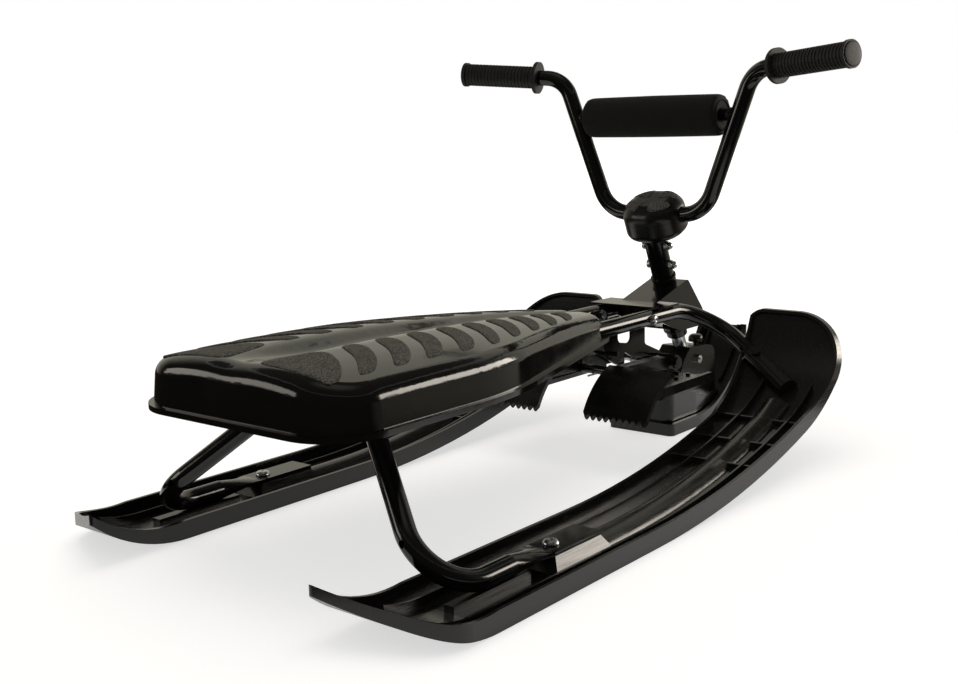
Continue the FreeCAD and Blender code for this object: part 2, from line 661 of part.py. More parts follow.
def make_frame_tube():
    """The right tube, from the rear flattened end round the leg and the spine to the ski tip."""
    middle = size("ski_offset")
    bow, tip_end, tip_heading, tip_across = tip_run()
    rear_taper, tip_taper = size("rear_taper"), size("tip_taper")
    rear_start = Vector(middle, size("rear_tab_end") - size("rear_tab_length"), size("foot_z"))
    tip_start = tip_end - tip_heading * size("tip_tab_length")
    path = bent_path(
        [rear_start - FORWARD * rear_taper,
         Vector(middle, size("foot_y"), size("foot_z")),
         Vector(size("spine_half"), size("leg_top_y"), size("spine_z")),
         Vector(size("spine_half"), size("bow_y"), size("spine_z")),
         bow,
         tip_start - tip_heading * tip_taper],
        [size("foot_bend"), size("leg_bend"), size("bow_bend"), size("bow_bend")])
    outer = swept(path, size("tube_d") / 2)
    inner = swept(path, size("tube_d") / 2 - size("tube_wall"))
    tube = outer.cut(inner)
    rear = flattened(rear_start, FORWARD, RIGHT, size("rear_tab_length"), rear_taper, size("tab_width"))
    front = flattened(tip_start, tip_heading, tip_across, size("tip_tab_length"), tip_taper,
                      size("tip_tab_width"))
    tube = tube.multiFuse([rear, front]).removeSplitter()
    screw = Part.makeCylinder(size("screw_d") / 2 + size("fit"), 40,
                              Vector(middle, size("ski_screw_y"), size("foot_z") - 20), UP)
    lift = tip_heading.cross(tip_across).normalize()
    bolt = Part.makeCylinder(size("screw_d") / 2 + size("fit"), 40, tip_bolt_place() - lift * 20, lift)
    tube = tube.cut(screw.fuse(bolt))
    # The drain hole sits on the outside of the bend.
    leg = (Vector(size("spine_half"), size("leg_top_y"), size("spine_z"))
           - Vector(middle, size("foot_y"), size("foot_z"))).normalize()
    outside = (FORWARD - leg).normalize()
    outside = Vector(outside.x, -abs(outside.y), -abs(outside.z)).normalize()
    corner = Vector(middle, size("foot_y"), size("foot_z"))
    drain_at = corner + leg * size("foot_bend") * 1.3 - FORWARD * size("tube_d") * 1.2
    drain = Part.makeCylinder(size("leg_hole") / 2, size("tube_d") * 2, drain_at, FORWARD)
    tube = tube.cut(drain.common(outer))
    for y, z in hanger_bolt_places():
        tube = tube.cut(Part.makeCylinder(size("screw_d") / 2, 2 * size("tube_d"),
                                          Vector(size("tube_d"), y, z), RIGHT))
    return tube


# Fasteners are a head and a shank in one, made from cylinders bound to the sheet.

def bolt(name, seat_point, into, shank, thread="sizes.screw_d", head="sizes.screw_head_d"):
    """A bolt whose head sits on seat_point and whose shank, an expression, runs in the direction into."""
    cap = rod(name + "_head", head + " / 2", "sizes.screw_head", seat_point, into * -1)
    stem = rod(name + "_shank", thread + " / 2", shank, seat_point, into)
    return fuse(name, [cap, stem])


def nut(name, seat_point, out):
    """A hexagon nut on seat_point, round a bolt that comes out in the direction out."""
    body = doc.addObject("Part::Prism", name + "_body")
    body.Polygon = 6
    body.setExpression("Circumradius", "sizes.screw_head_d / 2")
    body.setExpression("Height", "sizes.screw_d * 0.9")
    body.Placement = Placement(seat_point, Rotation(UP, out))
    hole = rod(name + "_hole", "sizes.screw_d / 2", "sizes.screw_d * 3",
               seat_point - out * size("screw_d"), out)
    return cut(name, body, hole)


tab_top = size("foot_z") + size("tab_thick") / 2
ski_screws = [bolt("ski_screw_%s" % side, Vector(sign * size("ski_offset"), size("ski_screw_y"), tab_top),
                   UP * -1, "sizes.foot_z + sizes.tab_thick / 2 - sizes.ski_floor")
              for side, sign in (("right", 1), ("left", -1))]
keep(group("ski_screws", ski_screws), "ski_screws")

_, _, run_heading, run_across = tip_run()
run_lift = run_heading.cross(run_across).normalize()
tip_seat = tip_bolt_place() + run_lift * size("socket_round")
tip_bolts = []
for side, sign in (("right", 1), ("left", -1)):
    seat_point = Vector(sign * tip_seat.x, tip_seat.y, tip_seat.z)
    lift = Vector(sign * run_lift.x, run_lift.y, run_lift.z)
    tip_bolts.append(bolt("tip_bolt_" + side, seat_point, lift * -1,
                          "sizes.socket_round + sizes.tab_thick / 2 + sizes.ski_floor"))
keep(group("tip_bolts", tip_bolts), "tip_bolts")


# Seat: one shell with a crowned top, screwed to two straps that lie across the spine tubes.

tube_top = size("spine_z") + size("tube_d") / 2
strap_top = tube_top + size("strap_thick")


def seat_width(y):
    """Half width of the seat: even behind the waist, then a straight taper to the nose and past it."""
    share = (y - size("seat_waist")) / (size("seat_nose") - size("seat_waist"))
    return size("seat_half") + (size("nose_half") - size("seat_half")) * max(share, 0.0)


def seat_top(share, y):
    """Height of the seat's top at a share of its half width: two lanes with a trough between them."""
    rear, middle, nose = size("seat_rear"), size("seat_waist"), size("seat_nose")
    a = (y - middle) * (y - nose) / ((rear - middle) * (rear - nose))
    b = (y - rear) * (y - nose) / ((middle - rear) * (middle - nose))
    c = (y - rear) * (y - middle) / ((nose - rear) * (nose - middle))
    base = a * size("seat_rear_z") + b * size("seat_mid_z") + c * size("seat_nose_z")
    crest = size("lane_x") / size("seat_half")
    if abs(share) < crest:
        run = min(max((y - rear) / size("lane_run"), 0.0), 1.0)
        trough = size("lane_rise") * math.sin(math.pi / 2 * run) ** 2
        drop = trough * math.cos(math.pi / 2 * abs(share) / crest) ** 2
    else:
        drop = size("lane_fall") * ((abs(share) - crest) / (1 - crest)) ** 2
    return base - drop * seat_width(y) / size("seat_half")


def seat_solid(inset, rounding):
    """The seat as a full solid, drawn in by inset on every side."""
    def ring(shrink, z):
        half, nose = size("seat_half") - shrink, size("nose_half") - shrink
        rear, front = size("seat_rear") + shrink, size("seat_nose") - shrink
        corner, waist = size("seat_corner") - shrink, size("seat_waist")
        points = [(half, rear, corner), (half, waist, 6 * corner), (nose, front, nose * 0.7),
                  (-nose, front, nose * 0.7), (-half, waist, 6 * corner), (-half, rear, corner)]
        wire = outline_face(points).OuterWire
        wire.translate(UP * z)
        return wire

    high = size("seat_rear_z") + 2 * size("seat_edge")
    low = size("seat_rim_z") - (1 if inset else 0)
    draft = 0.1 * (high - low)
    walls = Part.makeLoft([ring(inset, low), ring(inset + draft, high)], True, True)
    # The top is a surface through rows of points that fan in with the seat's width, a little wider and
    # longer than the seat, and closer together in the trough.
    long = size("seat_nose") - size("seat_rear")
    steps = [size("seat_rear") + long * (j / 10.0 - 0.1) for j in range(13)]
    crest, past = size("lane_x") / size("seat_half"), 1.25
    right = [crest * i / 3 for i in range(4)] + [crest + (past - crest) * i / 7 for i in range(1, 8)]
    shares = [-share for share in right[:0:-1]] + right
    grid = [[Vector(share * seat_width(y), y, seat_top(share, y) - inset) for y in steps]
            for share in shares]
    surface = Part.BSplineSurface()
    surface.interpolate(grid)
    under = surface.toShape().extrude(UP * -2 * (high - low))
    body = walls.common(under)
    edges = [edge for edge in body.Edges
             if all(vertex.Point.z > size("seat_nose_z") - size("seat_edge") - inset
                    for vertex in edge.Vertexes)
             and min(edge.BoundBox.XLength + edge.BoundBox.YLength, 1e6) > 2]
    return body.makeFillet(rounding, edges)


def make_seat():
    """Shell, lip, screw bosses and the notches over the tubes."""
    wall = size("seat_wall")
    outer = seat_solid(0, size("seat_edge"))
    inner = seat_solid(wall, size("seat_edge") - wall)
    lip = size("lip_width")
    half, nose = size("seat_half") + lip, size("nose_half") + lip
    rear, front = size("seat_rear") - lip, size("seat_nose") + lip
    corner = size("seat_corner") + lip
    edge = outline_face([(half, rear, corner), (half, size("seat_waist"), 6 * corner),
                         (nose, front, nose * 0.7), (-nose, front, nose * 0.7),
                         (-half, size("seat_waist"), 6 * corner), (-half, rear, corner)])
    edge.translate(UP * size("seat_rim_z"))
    body = outer.fuse(edge.extrude(UP * size("lip_height")))
    body = body.cut(inner)
    bosses = []
    for y in (size("strap_front_y"), size("strap_rear_y")):
        for x in (-size("boss_x"), size("boss_x")):
            post = Part.makeCylinder(size("boss_d") / 2, size("seat_rear_z"), Vector(x, y, strap_top), UP)
            bosses.append(post.common(outer))
    body = body.multiFuse(bosses)
    for side in (-1, 1):
        x = side * size("spine_half")
        gap = size("tube_d") / 2 + size("fit")
        long = size("seat_nose") - size("strap_front_y") + 2 * lip
        start = Vector(x, size("strap_front_y"), size("spine_z"))
        body = body.cut(Part.makeCylinder(gap, long, start, FORWARD))
        body = body.cut(Part.makeBox(2 * gap, long, gap * 4, start - RIGHT * gap - UP * gap * 4))
    for y in (size("strap_front_y"), size("strap_rear_y")):
        for x in (-size("boss_x"), size("boss_x")):
            body = body.cut(Part.makeCylinder(size("screw_d") / 2, size("boss_d") / 2,
                                              Vector(x, y, strap_top), UP))
    return body.removeSplitter()


solid("seat_shell", make_seat())

seat_screws = []
for name, y in (("front", size("strap_front_y")), ("rear", size("strap_rear_y"))):
    half_width = size("strap_width") / 2
    half_long = size("strap_half")
    strap = plate("%s_strap_blank" % name, "XY_Plane",
                  [(half_long, y - half_width, 6), (half_long, y + half_width, 6),
                   (-half_long, y + half_width, 6), (-half_long, y - half_width, 6)],
                  "sizes.strap_thick", tube_top)
    holes = []
    for side, x in (("right", size("boss_x")), ("left", -size("boss_x"))):
        holes.append(rod("%s_strap_hole_%s" % (name, side), "sizes.screw_d / 2", "sizes.strap_thick * 3",
                         Vector(x, y, tube_top - size("strap_thick")), UP))
        seat_screws.append(bolt("seat_screw_%s_%s" % (name, side), Vector(x, y, tube_top), UP,
                                "sizes.strap_thick + sizes.boss_d / 2"))
    drilled = cut("%s_seat_strap" % name, strap, fuse("%s_strap_holes" % name, holes))
    keep(drilled, "%s_seat_strap" % name)
keep(group("seat_screws", seat_screws), "seat_screws")


# Head: a folded sheet bracket on the spine tubes carries the leaning head tube.

def web(first, last, half, thick):
    """A sheet between two (y, z) points of a side outline, across the sled, lying inside the outline."""
    start = Vector(0, first[0], first[1])
    heading = Vector(0, last[0] - first[0], last[1] - first[1])
    inward = heading.cross(RIGHT).normalize()
    return block(start + inward * thick / 2, heading, RIGHT, heading.Length, 2 * half, thick)


def make_head_bracket():
    thick = size("plate_thick")
    half = size("spine_half") - size("tube_d") / 2 - size("cheek_gap")
    under = size("spine_z") - size("tube_d") / 2
    corner = size("cheek_corner")
    across = size("spine_half") + size("tube_d") / 2 + size("flange_over")
    heel = (size("flange_front") - 0.45 * (size("flange_front") - size("flange_rear")), tube_top)
    apex = (axis_at(size("apex_z")) + size("apex_ahead"), size("apex_z"))
    chin = (axis_at(size("chin_z")) + size("chin_ahead"), size("chin_z"))
    low_front = (chin[0] - size("chin_back"), chin[1] - size("chin_drop"))
    low_rear = (low_front[0] - size("base_length"), low_front[1])
    side = [heel + (0,), apex + (corner,), chin + (corner,), low_front + (corner / 2,), low_rear + (corner,),
            (heel[0], under + corner / 2, corner / 2)]
    profile = outline_face(side)
    turned = Rotation(Vector(1, 1, 1), 120)
    profile.Placement = Placement(Vector(0, 0, 0), turned)
    cheeks = []
    for x in (half - thick, -half):
        cheek = profile.extrude(RIGHT * thick)
        cheek.translate(RIGHT * x)
        cheeks.append(cheek)
    flange = Part.makeBox(2 * across, size("flange_front") - size("flange_rear"), thick,
                          Vector(-across, size("flange_rear"), tube_top))
    roof = web(heel, apex, half, thick)
    front = web(apex, chin, half, thick)
    base = web(low_front, low_rear, half, thick)
    hull = profile.extrude(RIGHT * 2 * half)
    hull.translate(RIGHT * -half)
    webs = roof.multiFuse([front, base]).common(hull)
    body = flange.multiFuse(cheeks + [webs]).removeSplitter()
    # The sheet is cut out round the head tube, and wider where the bush flanges and the collar are.
    tube = Part.makeCylinder(size("head_d") / 2, 2 * size("head_high"), on_axis(0), steer_up)
    room = size("head_d") / 2 + size("bush_over") + size("fit")
    long = size("head_high") - size("head_low")
    above = Part.makeCylinder(room, long, on_axis(size("head_high")), steer_up)
    below = Part.makeCylinder(room, long, on_axis(size("head_low")), steer_up * -1)
    return body.cut(tube).cut(above).cut(below).removeSplitter()


def column(name, outer, inner, low, high):
    """A tube round the steering axis; radii and heights along the axis are expressions."""
    body = rod(name + "_outer", outer, "%s - (%s)" % (high, low), Vector(0, 0, 0), UP)
    hole = rod(name + "_inner", inner, "2 * (%s - (%s))" % (high, low), Vector(0, 0, 0), UP)
    piece = cut(name, body, hole)
    return piece


def stand(piece, height):
    """Put a piece made along z onto the steering axis at a height."""
    piece.Placement = Placement(on_axis(height), steering.Rotation)
    return piece


solid("head_bracket", make_head_bracket())

head_tube = column("head_tube", "sizes.head_d / 2", "sizes.head_bore / 2",
                   "sizes.head_low", "sizes.head_high")
keep(stand(head_tube, size("head_low")), "head_tube")


def bush(label, height, upward):
    """A flanged bush pressed into one end of the head tube; its flange points outward."""
    flange = rod(label + "_flange", "sizes.head_d / 2 + sizes.bush_over", "sizes.bush_flange",
                 Vector(0, 0, 0), UP)
    sleeve = rod(label + "_sleeve", "sizes.head_bore / 2", "sizes.bush_depth", Vector(0, 0, 0), UP * -1)
    hole = rod(label + "_bore", "sizes.shaft_d / 2 + sizes.run_fit", "sizes.bush_depth * 3",
               Vector(0, 0, -2 * size("bush_depth")), UP)
    piece = cut(label, fuse(label + "_body", [flange, sleeve]), hole)
    turned = steering.Rotation if upward else steering.Rotation.multiply(Rotation(RIGHT, 180))
    piece.Placement = Placement(on_axis(height), turned)
    return keep(piece, label)


bush("upper_head_bush", size("head_high"), True)
bush("lower_head_bush", size("head_low"), False)


# Steering column: shaft, collar, stem and the bolts across them.

def across_bolts(name, heights, half, width, nut_side):
    """Bolts across the column at heights along the axis, with their nuts as a second group.

    Half is where the heads and nuts seat, and width the same space as an expression.
    """
    bolts, nuts = [], []
    for i, height in enumerate(heights):
        bolts.append(bolt("%s_bolt_%d" % (name, i), on_axis(height, side=-nut_side * half),
                          RIGHT * nut_side, "%s + sizes.screw_d * 1.2" % width))
        nuts.append(nut("%s_nut_%d" % (name, i), on_axis(height, side=nut_side * half), RIGHT * nut_side))
    return bolts, nuts


def cross_holes(name, heights):
    """Holes across the column at heights along the axis."""
    return fuse(name, [rod("%s_%d" % (name, i), "sizes.screw_d / 2", "sizes.console_half * 2",
                           on_axis(height, side=-size("console_half")), RIGHT)
                       for i, height in enumerate(heights)])


stem_heights = [size("head_high") + size("stem_bolt_rise"),
                size("head_high") + size("stem_bolt_rise") + size("stem_bolt_gap")]
shaft_heights = stem_heights + [size("cross_bolt")]
stem_top = ("(sizes.bar_z / cos(sizes.lean) - sizes.bar_ahead * sin(sizes.lean) - sizes.clamp_drop"
            " - sizes.fit)")
stem_high = (size("bar_z") / math.cos(math.radians(size("lean")))
             - size("bar_ahead") * math.sin(math.radians(size("lean"))) - size("clamp_drop") - size("fit"))
shaft_rod = rod("shaft_rod", "sizes.shaft_d / 2", stem_top + " - sizes.shaft_inset - sizes.shaft_low",
                on_axis(size("shaft_low")), steer_up)
keep(cut("steering_shaft", shaft_rod, cross_holes("shaft_holes", shaft_heights)), "steering_shaft")

collar = column("shaft_collar", "sizes.head_d / 2 - sizes.collar_step", "sizes.shaft_d / 2",
                "sizes.bush_flange", "sizes.bush_flange * 4")
keep(stand(collar, size("head_low") - size("bush_flange") * 4 - size("fit")), "shaft_collar")

stem_low = size("head_high") + size("bush_flange") + size("fit")
stem_raw = column("stem_raw", "sizes.stem_d / 2", "sizes.shaft_d / 2",
                  "sizes.head_high + sizes.bush_flange + sizes.fit", stem_top)
stand(stem_raw, stem_low)
keep(cut("stem_tube", stem_raw, cross_holes("stem_holes", stem_heights)), "stem_tube")
stem_bolts, stem_nuts = across_bolts("stem", stem_heights, size("stem_d") / 2, "sizes.stem_d", 1)
keep(group("stem_bolts", stem_bolts), "stem_bolts")
keep(group("stem_nuts", stem_nuts), "stem_nuts")


# Handlebar: one bent tube with a crossbar, a pad on the crossbar and two grips.

bar_y = axis_at(size("bar_z")) + size("bar_ahead")
bar_high_y = bar_y - size("bar_rake")
bar_end_y = bar_high_y - size("bar_sweep")


def bar_points():
    """Corners of the handlebar from the left end to the right end."""
    right = [Vector(size("bar_low_half"), bar_y, size("bar_z")),
             Vector(size("bar_high_half"), bar_high_y, size("bar_high_z")),
             Vector(size("bar_end_half"), bar_end_y, size("bar_end_z"))]
    left = [Vector(-point.x, point.y, point.z) for point in reversed(right)]
    return left + right


bar_path = bent_path(bar_points(), [size("bar_high_bend"), size("bar_low_bend")] +
                     [size("bar_low_bend"), size("bar_high_bend")])
bar_solid = swept(bar_path, size("bar_d") / 2)
bar_hollow = swept(bar_path, size("bar_d") / 2 - size("bar_wall"))
rise = (size("cross_z") - size("bar_z")) / (size("bar_high_z") - size("bar_z"))
cross_half = size("bar_low_half") + rise * (size("bar_high_half") - size("bar_low_half"))
cross_y = bar_y - rise * size("bar_rake")
splay = (size("bar_high_half") - size("bar_low_half")) / (size("bar_high_z") - size("bar_z"))
solid("handlebar", bar_solid.cut(bar_hollow))

crossbar = Part.makeCylinder(size("cross_d") / 2, 2 * cross_half,
                             Vector(-cross_half, cross_y, size("cross_z")), RIGHT)
crossbar = crossbar.cut(bar_solid)
crossbar = [part for part in crossbar.Solids if part.BoundBox.XLength > cross_half][0]
solid("crossbar", crossbar)


def make_bar_pad():
    """A stuffed sleeve: round, fuller in the middle and rounded at both ends."""
    full = size("pad_d") / 2
    hole = size("cross_d") / 2
    edge = 0.26 * full
    side = 0.97 * full
    # The uprights lean in below the crossbar, so the pad's lower corner is the one that meets them.
    half = (cross_half - (side - edge) * splay - size("bar_d") / 2 * math.sqrt(1 + splay ** 2)
            - size("pad_gap"))
    curves = [
        Part.LineSegment(Vector(-half, 0, hole), Vector(-half, 0, side - edge)),
        Part.Arc(Vector(-half, 0, side - edge), Vector(-half + 0.29 * edge, 0, side - 0.29 * edge),
                 Vector(-half + edge, 0, side)),
        Part.Arc(Vector(-half + edge, 0, side), Vector(0, 0, full), Vector(half - edge, 0, side)),
        Part.Arc(Vector(half - edge, 0, side), Vector(half - 0.29 * edge, 0, side - 0.29 * edge),
                 Vector(half, 0, side - edge)),
        Part.LineSegment(Vector(half, 0, side - edge), Vector(half, 0, hole)),
        Part.LineSegment(Vector(half, 0, hole), Vector(-half, 0, hole)),
    ]
    face = Part.Face(Part.Wire([curve.toShape() for curve in curves]))
    pad = face.revolve(Vector(0, 0, 0), RIGHT, 360)
    pad.translate(Vector(0, cross_y, size("cross_z")))
    return pad


solid("bar_pad", make_bar_pad())

# A grip is a handle with a flange, a knob and rings, bored by the bar itself.
bar_outside = doc.addObject("Part::Feature", "bar_outside")
bar_outside.Shape = bar_solid
for side, sign in (("right", 1), ("left", -1)):
    end = Vector(sign * size("bar_end_half"), bar_end_y, size("bar_end_z"))
    elbow = Vector(sign * size("bar_high_half"), bar_high_y, size("bar_high_z"))
    outward = (end - elbow).normalize()
    start = end + outward * size("grip_cap") - outward * size("grip_length")
    parts = [rod(side + "_grip_handle", "sizes.grip_d / 2", "sizes.grip_length", start, outward),
             rod(side + "_grip_collar", "sizes.grip_flange_d / 2", "sizes.grip_flange", start, outward),
             rod(side + "_grip_knob", "sizes.grip_d / 2 + sizes.grip_knob", "sizes.grip_flange",
                 end + outward * (size("grip_cap") - size("grip_flange")), outward)]
    step = (size("grip_length") - 2 * size("grip_flange")) / (2 * size("grip_rings") + 1)
    for i in range(int(size("grip_rings"))):
        parts.append(rod("%s_grip_ring_%d" % (side, i), "sizes.grip_d / 2 + sizes.grip_ring",
                         "(sizes.grip_length - 2 * sizes.grip_flange) / (2 * sizes.grip_rings + 1)",
                         start + outward * (size("grip_flange") + (2 * i + 1) * step), outward))
    keep(cut(side + "_grip", fuse(side + "_grip_body", parts), bar_outside), side + "_grip")


# Bar clamp on top of the stem, inside a two-part console. Both lean with the column.

def leaning(shape):
    """A shape made upright round the bar's lower run, turned to lean with the steering axis."""
    shape.rotate(Vector(0, bar_y, size("bar_z")), RIGHT, size("lean"))
    return shape


def make_clamp(upper):
    half, deep = size("clamp_half"), size("clamp_depth")
    low = size("bar_z") - size("clamp_drop")
    high = size("bar_z") + size("bar_d") / 2 + size("clamp_cap")
    gap = size("fit") / 2
    if upper:
        body = leaning(Part.makeBox(2 * half, deep, high - size("bar_z") - gap,
                                    Vector(-half, bar_y - deep / 2, size("bar_z") + gap)))
    else:
        body = leaning(Part.makeBox(2 * half, deep, size("bar_z") - gap - low,
                                    Vector(-half, bar_y - deep / 2, low)))
        socket = Part.makeCylinder(size("stem_d") / 2 + size("clamp_cap") / 2, size("clamp_drop"),
                                   on_axis(stem_high - size("clamp_drop") * 0.6), steer_up)
        top = leaning(Part.makeBox(4 * half, 4 * half, 4 * half,
                                   Vector(-2 * half, bar_y - 2 * half, low + size("fit"))))
        body = body.fuse(socket.cut(top)).removeSplitter()
        body = body.cut(Part.makeCylinder(size("stem_d") / 2, stem_high, on_axis(0), steer_up))
    body = body.cut(bar_solid)
    for x, y in clamp_bolt_places():
        body = body.cut(leaning(Part.makeCylinder(size("screw_d") / 2, 2 * deep,
                                                  Vector(x, y, low + size("clamp_cap")), UP)))
    return body


def clamp_bolt_places():
    """The four clamp bolts, just clear of the bar."""
    x = size("clamp_half") - size("screw_head_d") / 2
    y = size("bar_d") / 2 + size("screw_d") / 2 + 1
    return [(sx * x, bar_y + sy * y) for sx in (-1, 1) for sy in (-1, 1)]


solid("clamp_block", make_clamp(False))
solid("clamp_cap", make_clamp(True))
clamp_top = size("bar_z") + size("bar_d") / 2 + size("clamp_cap")
bar_middle = Vector(0, bar_y, size("bar_z"))
clamp_bolts = [bolt("clamp_bolt_%d" % i,
                    bar_middle + steering.Rotation.multVec(Vector(x, y, clamp_top) - bar_middle),
                    steer_up * -1, "sizes.bar_d / 2 + sizes.clamp_drop", head="1.6 * sizes.screw_d")
               for i, (x, y) in enumerate(clamp_bolt_places())]
keep(group("clamp_bolts", clamp_bolts), "clamp_bolts")


def make_console(upper):
    """Half of the console: a tub below the bar, or a domed cover above it."""
    half, deep, wall = size("console_half"), size("console_depth") / 2, size("console_wall")
    middle, corner = bar_y - size("console_back"), size("console_corner")
    console_low = size("bar_z") - size("console_drop")
    console_high = size("bar_z") + size("console_rise")

    def shell(inset):
        points = [(sx * (half - inset), middle + sy * (deep - inset), corner - inset)
                  for sx, sy in ((1, -1), (1, 1), (-1, 1), (-1, -1))]
        if upper:
            face = outline_face(points)
            face.translate(UP * (size("bar_z") + (0 if not inset else -1)))
            full = face.extrude(UP * (console_high - size("bar_z") - inset + (1 if inset else 0)))
            top = [edge for edge in full.Edges if edge.BoundBox.ZMin > console_high - inset - 0.1]
            return full.makeFillet(size("console_dome") - inset, top)
        face = outline_face(points)
        face.translate(UP * (console_low + inset))
        full = face.extrude(UP * (size("bar_z") - console_low - inset
                                  + (1 if inset else -size("fit"))))
        low = [edge for edge in full.Edges if edge.BoundBox.ZMax < console_low + inset + 0.1]
        return full.makeFillet(size("console_dome") * 0.6 - inset, low)

    body = leaning(shell(0).cut(shell(wall)))
    body = body.cut(swept(bar_path, size("bar_d") / 2 + size("fit")))
    if not upper:
        body = body.cut(Part.makeCylinder(size("stem_d") / 2 + size("clamp_cap") / 2, 2 * stem_high,
                                          on_axis(0), steer_up))
    return body


solid("console_base", make_console(False))
solid("console_cover", make_console(True))


# Steering ski: a tray with an upturned tip, a hollow saddle on it, and the bolts that hold them.

class FrontSole:
    """Side view of the steering ski's sole: flat, then an arc, then straight on if it is steep enough."""

    def __init__(self):
        self.turn, self.run = curl(size("front_tip") - size("front_flat"), size("front_radius"),
                                   size("front_steep"))

    def arc(self, turn, height):
        radius = size("front_radius") - height
        return Vector(0, size("front_flat") + radius * math.sin(turn),
                      size("front_radius") - radius * math.cos(turn))

    def end(self, height):
        away = Vector(0, math.cos(self.turn), math.sin(self.turn))
        return self.arc(self.turn, height) + away * self.run

    def band(self, low, high, half):
        """The space between two heights above the sole, from x = -half to x = half."""
        def line(height):
            curves = [Part.LineSegment(Vector(0, size("front_rear"), height), self.arc(0, height)),
                      Part.Arc(self.arc(0, height), self.arc(self.turn / 2, height),
                               self.arc(self.turn, height))]
            if self.run > 0:
                curves.append(Part.LineSegment(self.arc(self.turn, height), self.end(height)))
            return curves

        ends = [Part.LineSegment(Vector(0, size("front_rear"), low), Vector(0, size("front_rear"), high)),
                Part.LineSegment(self.end(low), self.end(high))]
        edges = [curve.toShape() for curve in line(low) + line(high) + ends]
        face = Part.Face(Part.Wire(Part.__sortEdges__(edges)))
        face.translate(RIGHT * -half)
        return face.extrude(RIGHT * 2 * half)


front_sole = FrontSole()
tower_rear = axis_at(size("tower_z")) - size("tower_back")
tower_front = axis_at(size("tower_z")) + size("tower_ahead")


def front_outline(inset):
    """Plan of the steering ski."""
    half, tip = size("front_half") - inset, size("front_tip_half") - inset
    rear, front = size("front_rear") + inset, size("front_tip") - inset
    middle = size("front_flat")
    corner, side, end = size("front_corner"), size("front_side"), size("front_round")
    return outline_face([(half, rear, corner), (half, middle, side), (tip, front, end),
                         (-tip, front, end), (-half, middle, side), (-half, rear, corner)])


def make_steering_ski():
    half = size("front_half")
    tall = size("front_radius") + size("front_tip") - size("front_rear")
    wide = front_sole.band(0, size("front_rim"), half + 1)
    body = wide.common(front_outline(0).extrude(UP * tall))
    hollow = front_sole.band(size("front_sole"), 3 * size("front_rim"), half)
    body = body.cut(hollow.common(front_outline(size("front_sole")).extrude(UP * tall)))
    keel = front_sole.band(0, size("front_sole"), size("rib_thick"))
    keel = keel.common(front_outline(0).extrude(UP * tall))
    ribs = []
    for x in (-0.45 * half, 0.45 * half):
        rib = front_sole.band(size("front_sole") / 2, size("front_rim") * 0.7, size("rib_thick") / 2)
        rib.translate(RIGHT * x)
        ahead = Part.makeBox(2 * half, tall, tall, Vector(-half, tower_front + size("front_rim"), 0))
        ribs.append(rib.common(front_outline(size("front_sole") / 2).extrude(UP * tall)).common(ahead))
    body = body.multiFuse(ribs + [keel]).removeSplitter()
    return body.cut(Part.makeCylinder(size("screw_d") / 2, tall,
                                      Vector(0, ski_bolt_y(), size("front_sole") / 2), UP))


def ski_bolt_y():
    """Where the upright bolt through the front of the tower meets the ski."""
    return tower_front - size("tower_half") * 0.6


def make_saddle():
    """The hollow saddle with its tower, a socket for the shaft and a post for the upright bolt."""
    wall = size("saddle_wall")
    tall = size("front_radius")
    rest = size("front_sole")

    def hull(inset):
        half, rear = size("saddle_half") - inset, size("saddle_rear") + inset
        deck = size("saddle_z") - inset
        front = tower_front + 4 - inset
        side = [(rear, -1, 0), (rear, deck, 10), (tower_rear - 26, deck - 2, 30),
                (tower_rear + 24, 0.65 * deck, 40), (front, 0.6 * deck, 4), (front, -1, 0)]
        face = outline_face(side)
        face.Placement = Placement(Vector(-half, 0, 0), Rotation(Vector(1, 1, 1), 120))
        low = face.extrude(RIGHT * 2 * half)
        plan = outline_face([(half, rear, 14), (half, size("front_flat"), 60), (half - 10, front, 16),
                             (-half + 10, front, 16), (-half, size("front_flat"), 60), (-half, rear, 14)])
        low = low.common(plan.extrude(UP * tall))
        narrow = size("tower_half") - inset
        top = size("tower_z") - inset
        back, fore = tower_rear + inset, tower_front - inset
        tower = [(back - 24, -1, 0), (back - 24, deck - 8, 30), (back, top - 12, 14),
                 (back + 18, top + 4, 8), (fore, top - 3, 16), (fore + 4, -1, 0)]
        face = outline_face(tower)
        face.Placement = Placement(Vector(-narrow, 0, 0), Rotation(Vector(1, 1, 1), 120))
        return low, face.extrude(RIGHT * 2 * narrow)

    low, high = hull(0)
    body = low.fuse(high).removeSplitter()
    inner_low, inner_high = hull(wall)
    body = body.cut(inner_low.fuse(inner_high))
    socket = Part.makeCylinder(size("shaft_d") / 2 + wall, size("tower_z"),
                               on_axis(size("shaft_low") - wall), steer_up)
    post = Part.makeCylinder(size("screw_d") / 2 + wall, tall, Vector(0, ski_bolt_y(), 0), UP)
    whole = low.fuse(high)
    body = body.multiFuse([socket.common(whole), post.common(whole)]).removeSplitter()
    under = front_sole.band(-tall, rest, size("front_half"))
    rear_box = Part.makeBox(2 * size("front_half"), size("front_tip"), rest + 1,
                            Vector(-size("front_half"), 0, -1))
    body = body.cut(under).cut(rear_box)
    body = body.cut(Part.makeCylinder(size("shaft_d") / 2, 2 * tall, on_axis(size("shaft_low")), steer_up))
    body = body.cut(Part.makeCylinder(size("screw_d") / 2, 2 * tall, Vector(0, ski_bolt_y(), -1), UP))
    body = body.cut(Part.makeCylinder(size("screw_d") / 2, 2 * size("front_half"),
                                      on_axis(size("cross_bolt"), side=-size("front_half")), RIGHT))
    return body.removeSplitter()


solid("steering_ski", make_steering_ski())
solid("ski_saddle", make_saddle())
cross_bolts, cross_nuts = across_bolts("saddle", [size("cross_bolt")], size("tower_half"),
                                       "2 * sizes.tower_half", 1)
keep(cross_bolts[0], "saddle_cross_bolt")
keep(cross_nuts[0], "saddle_cross_nut")

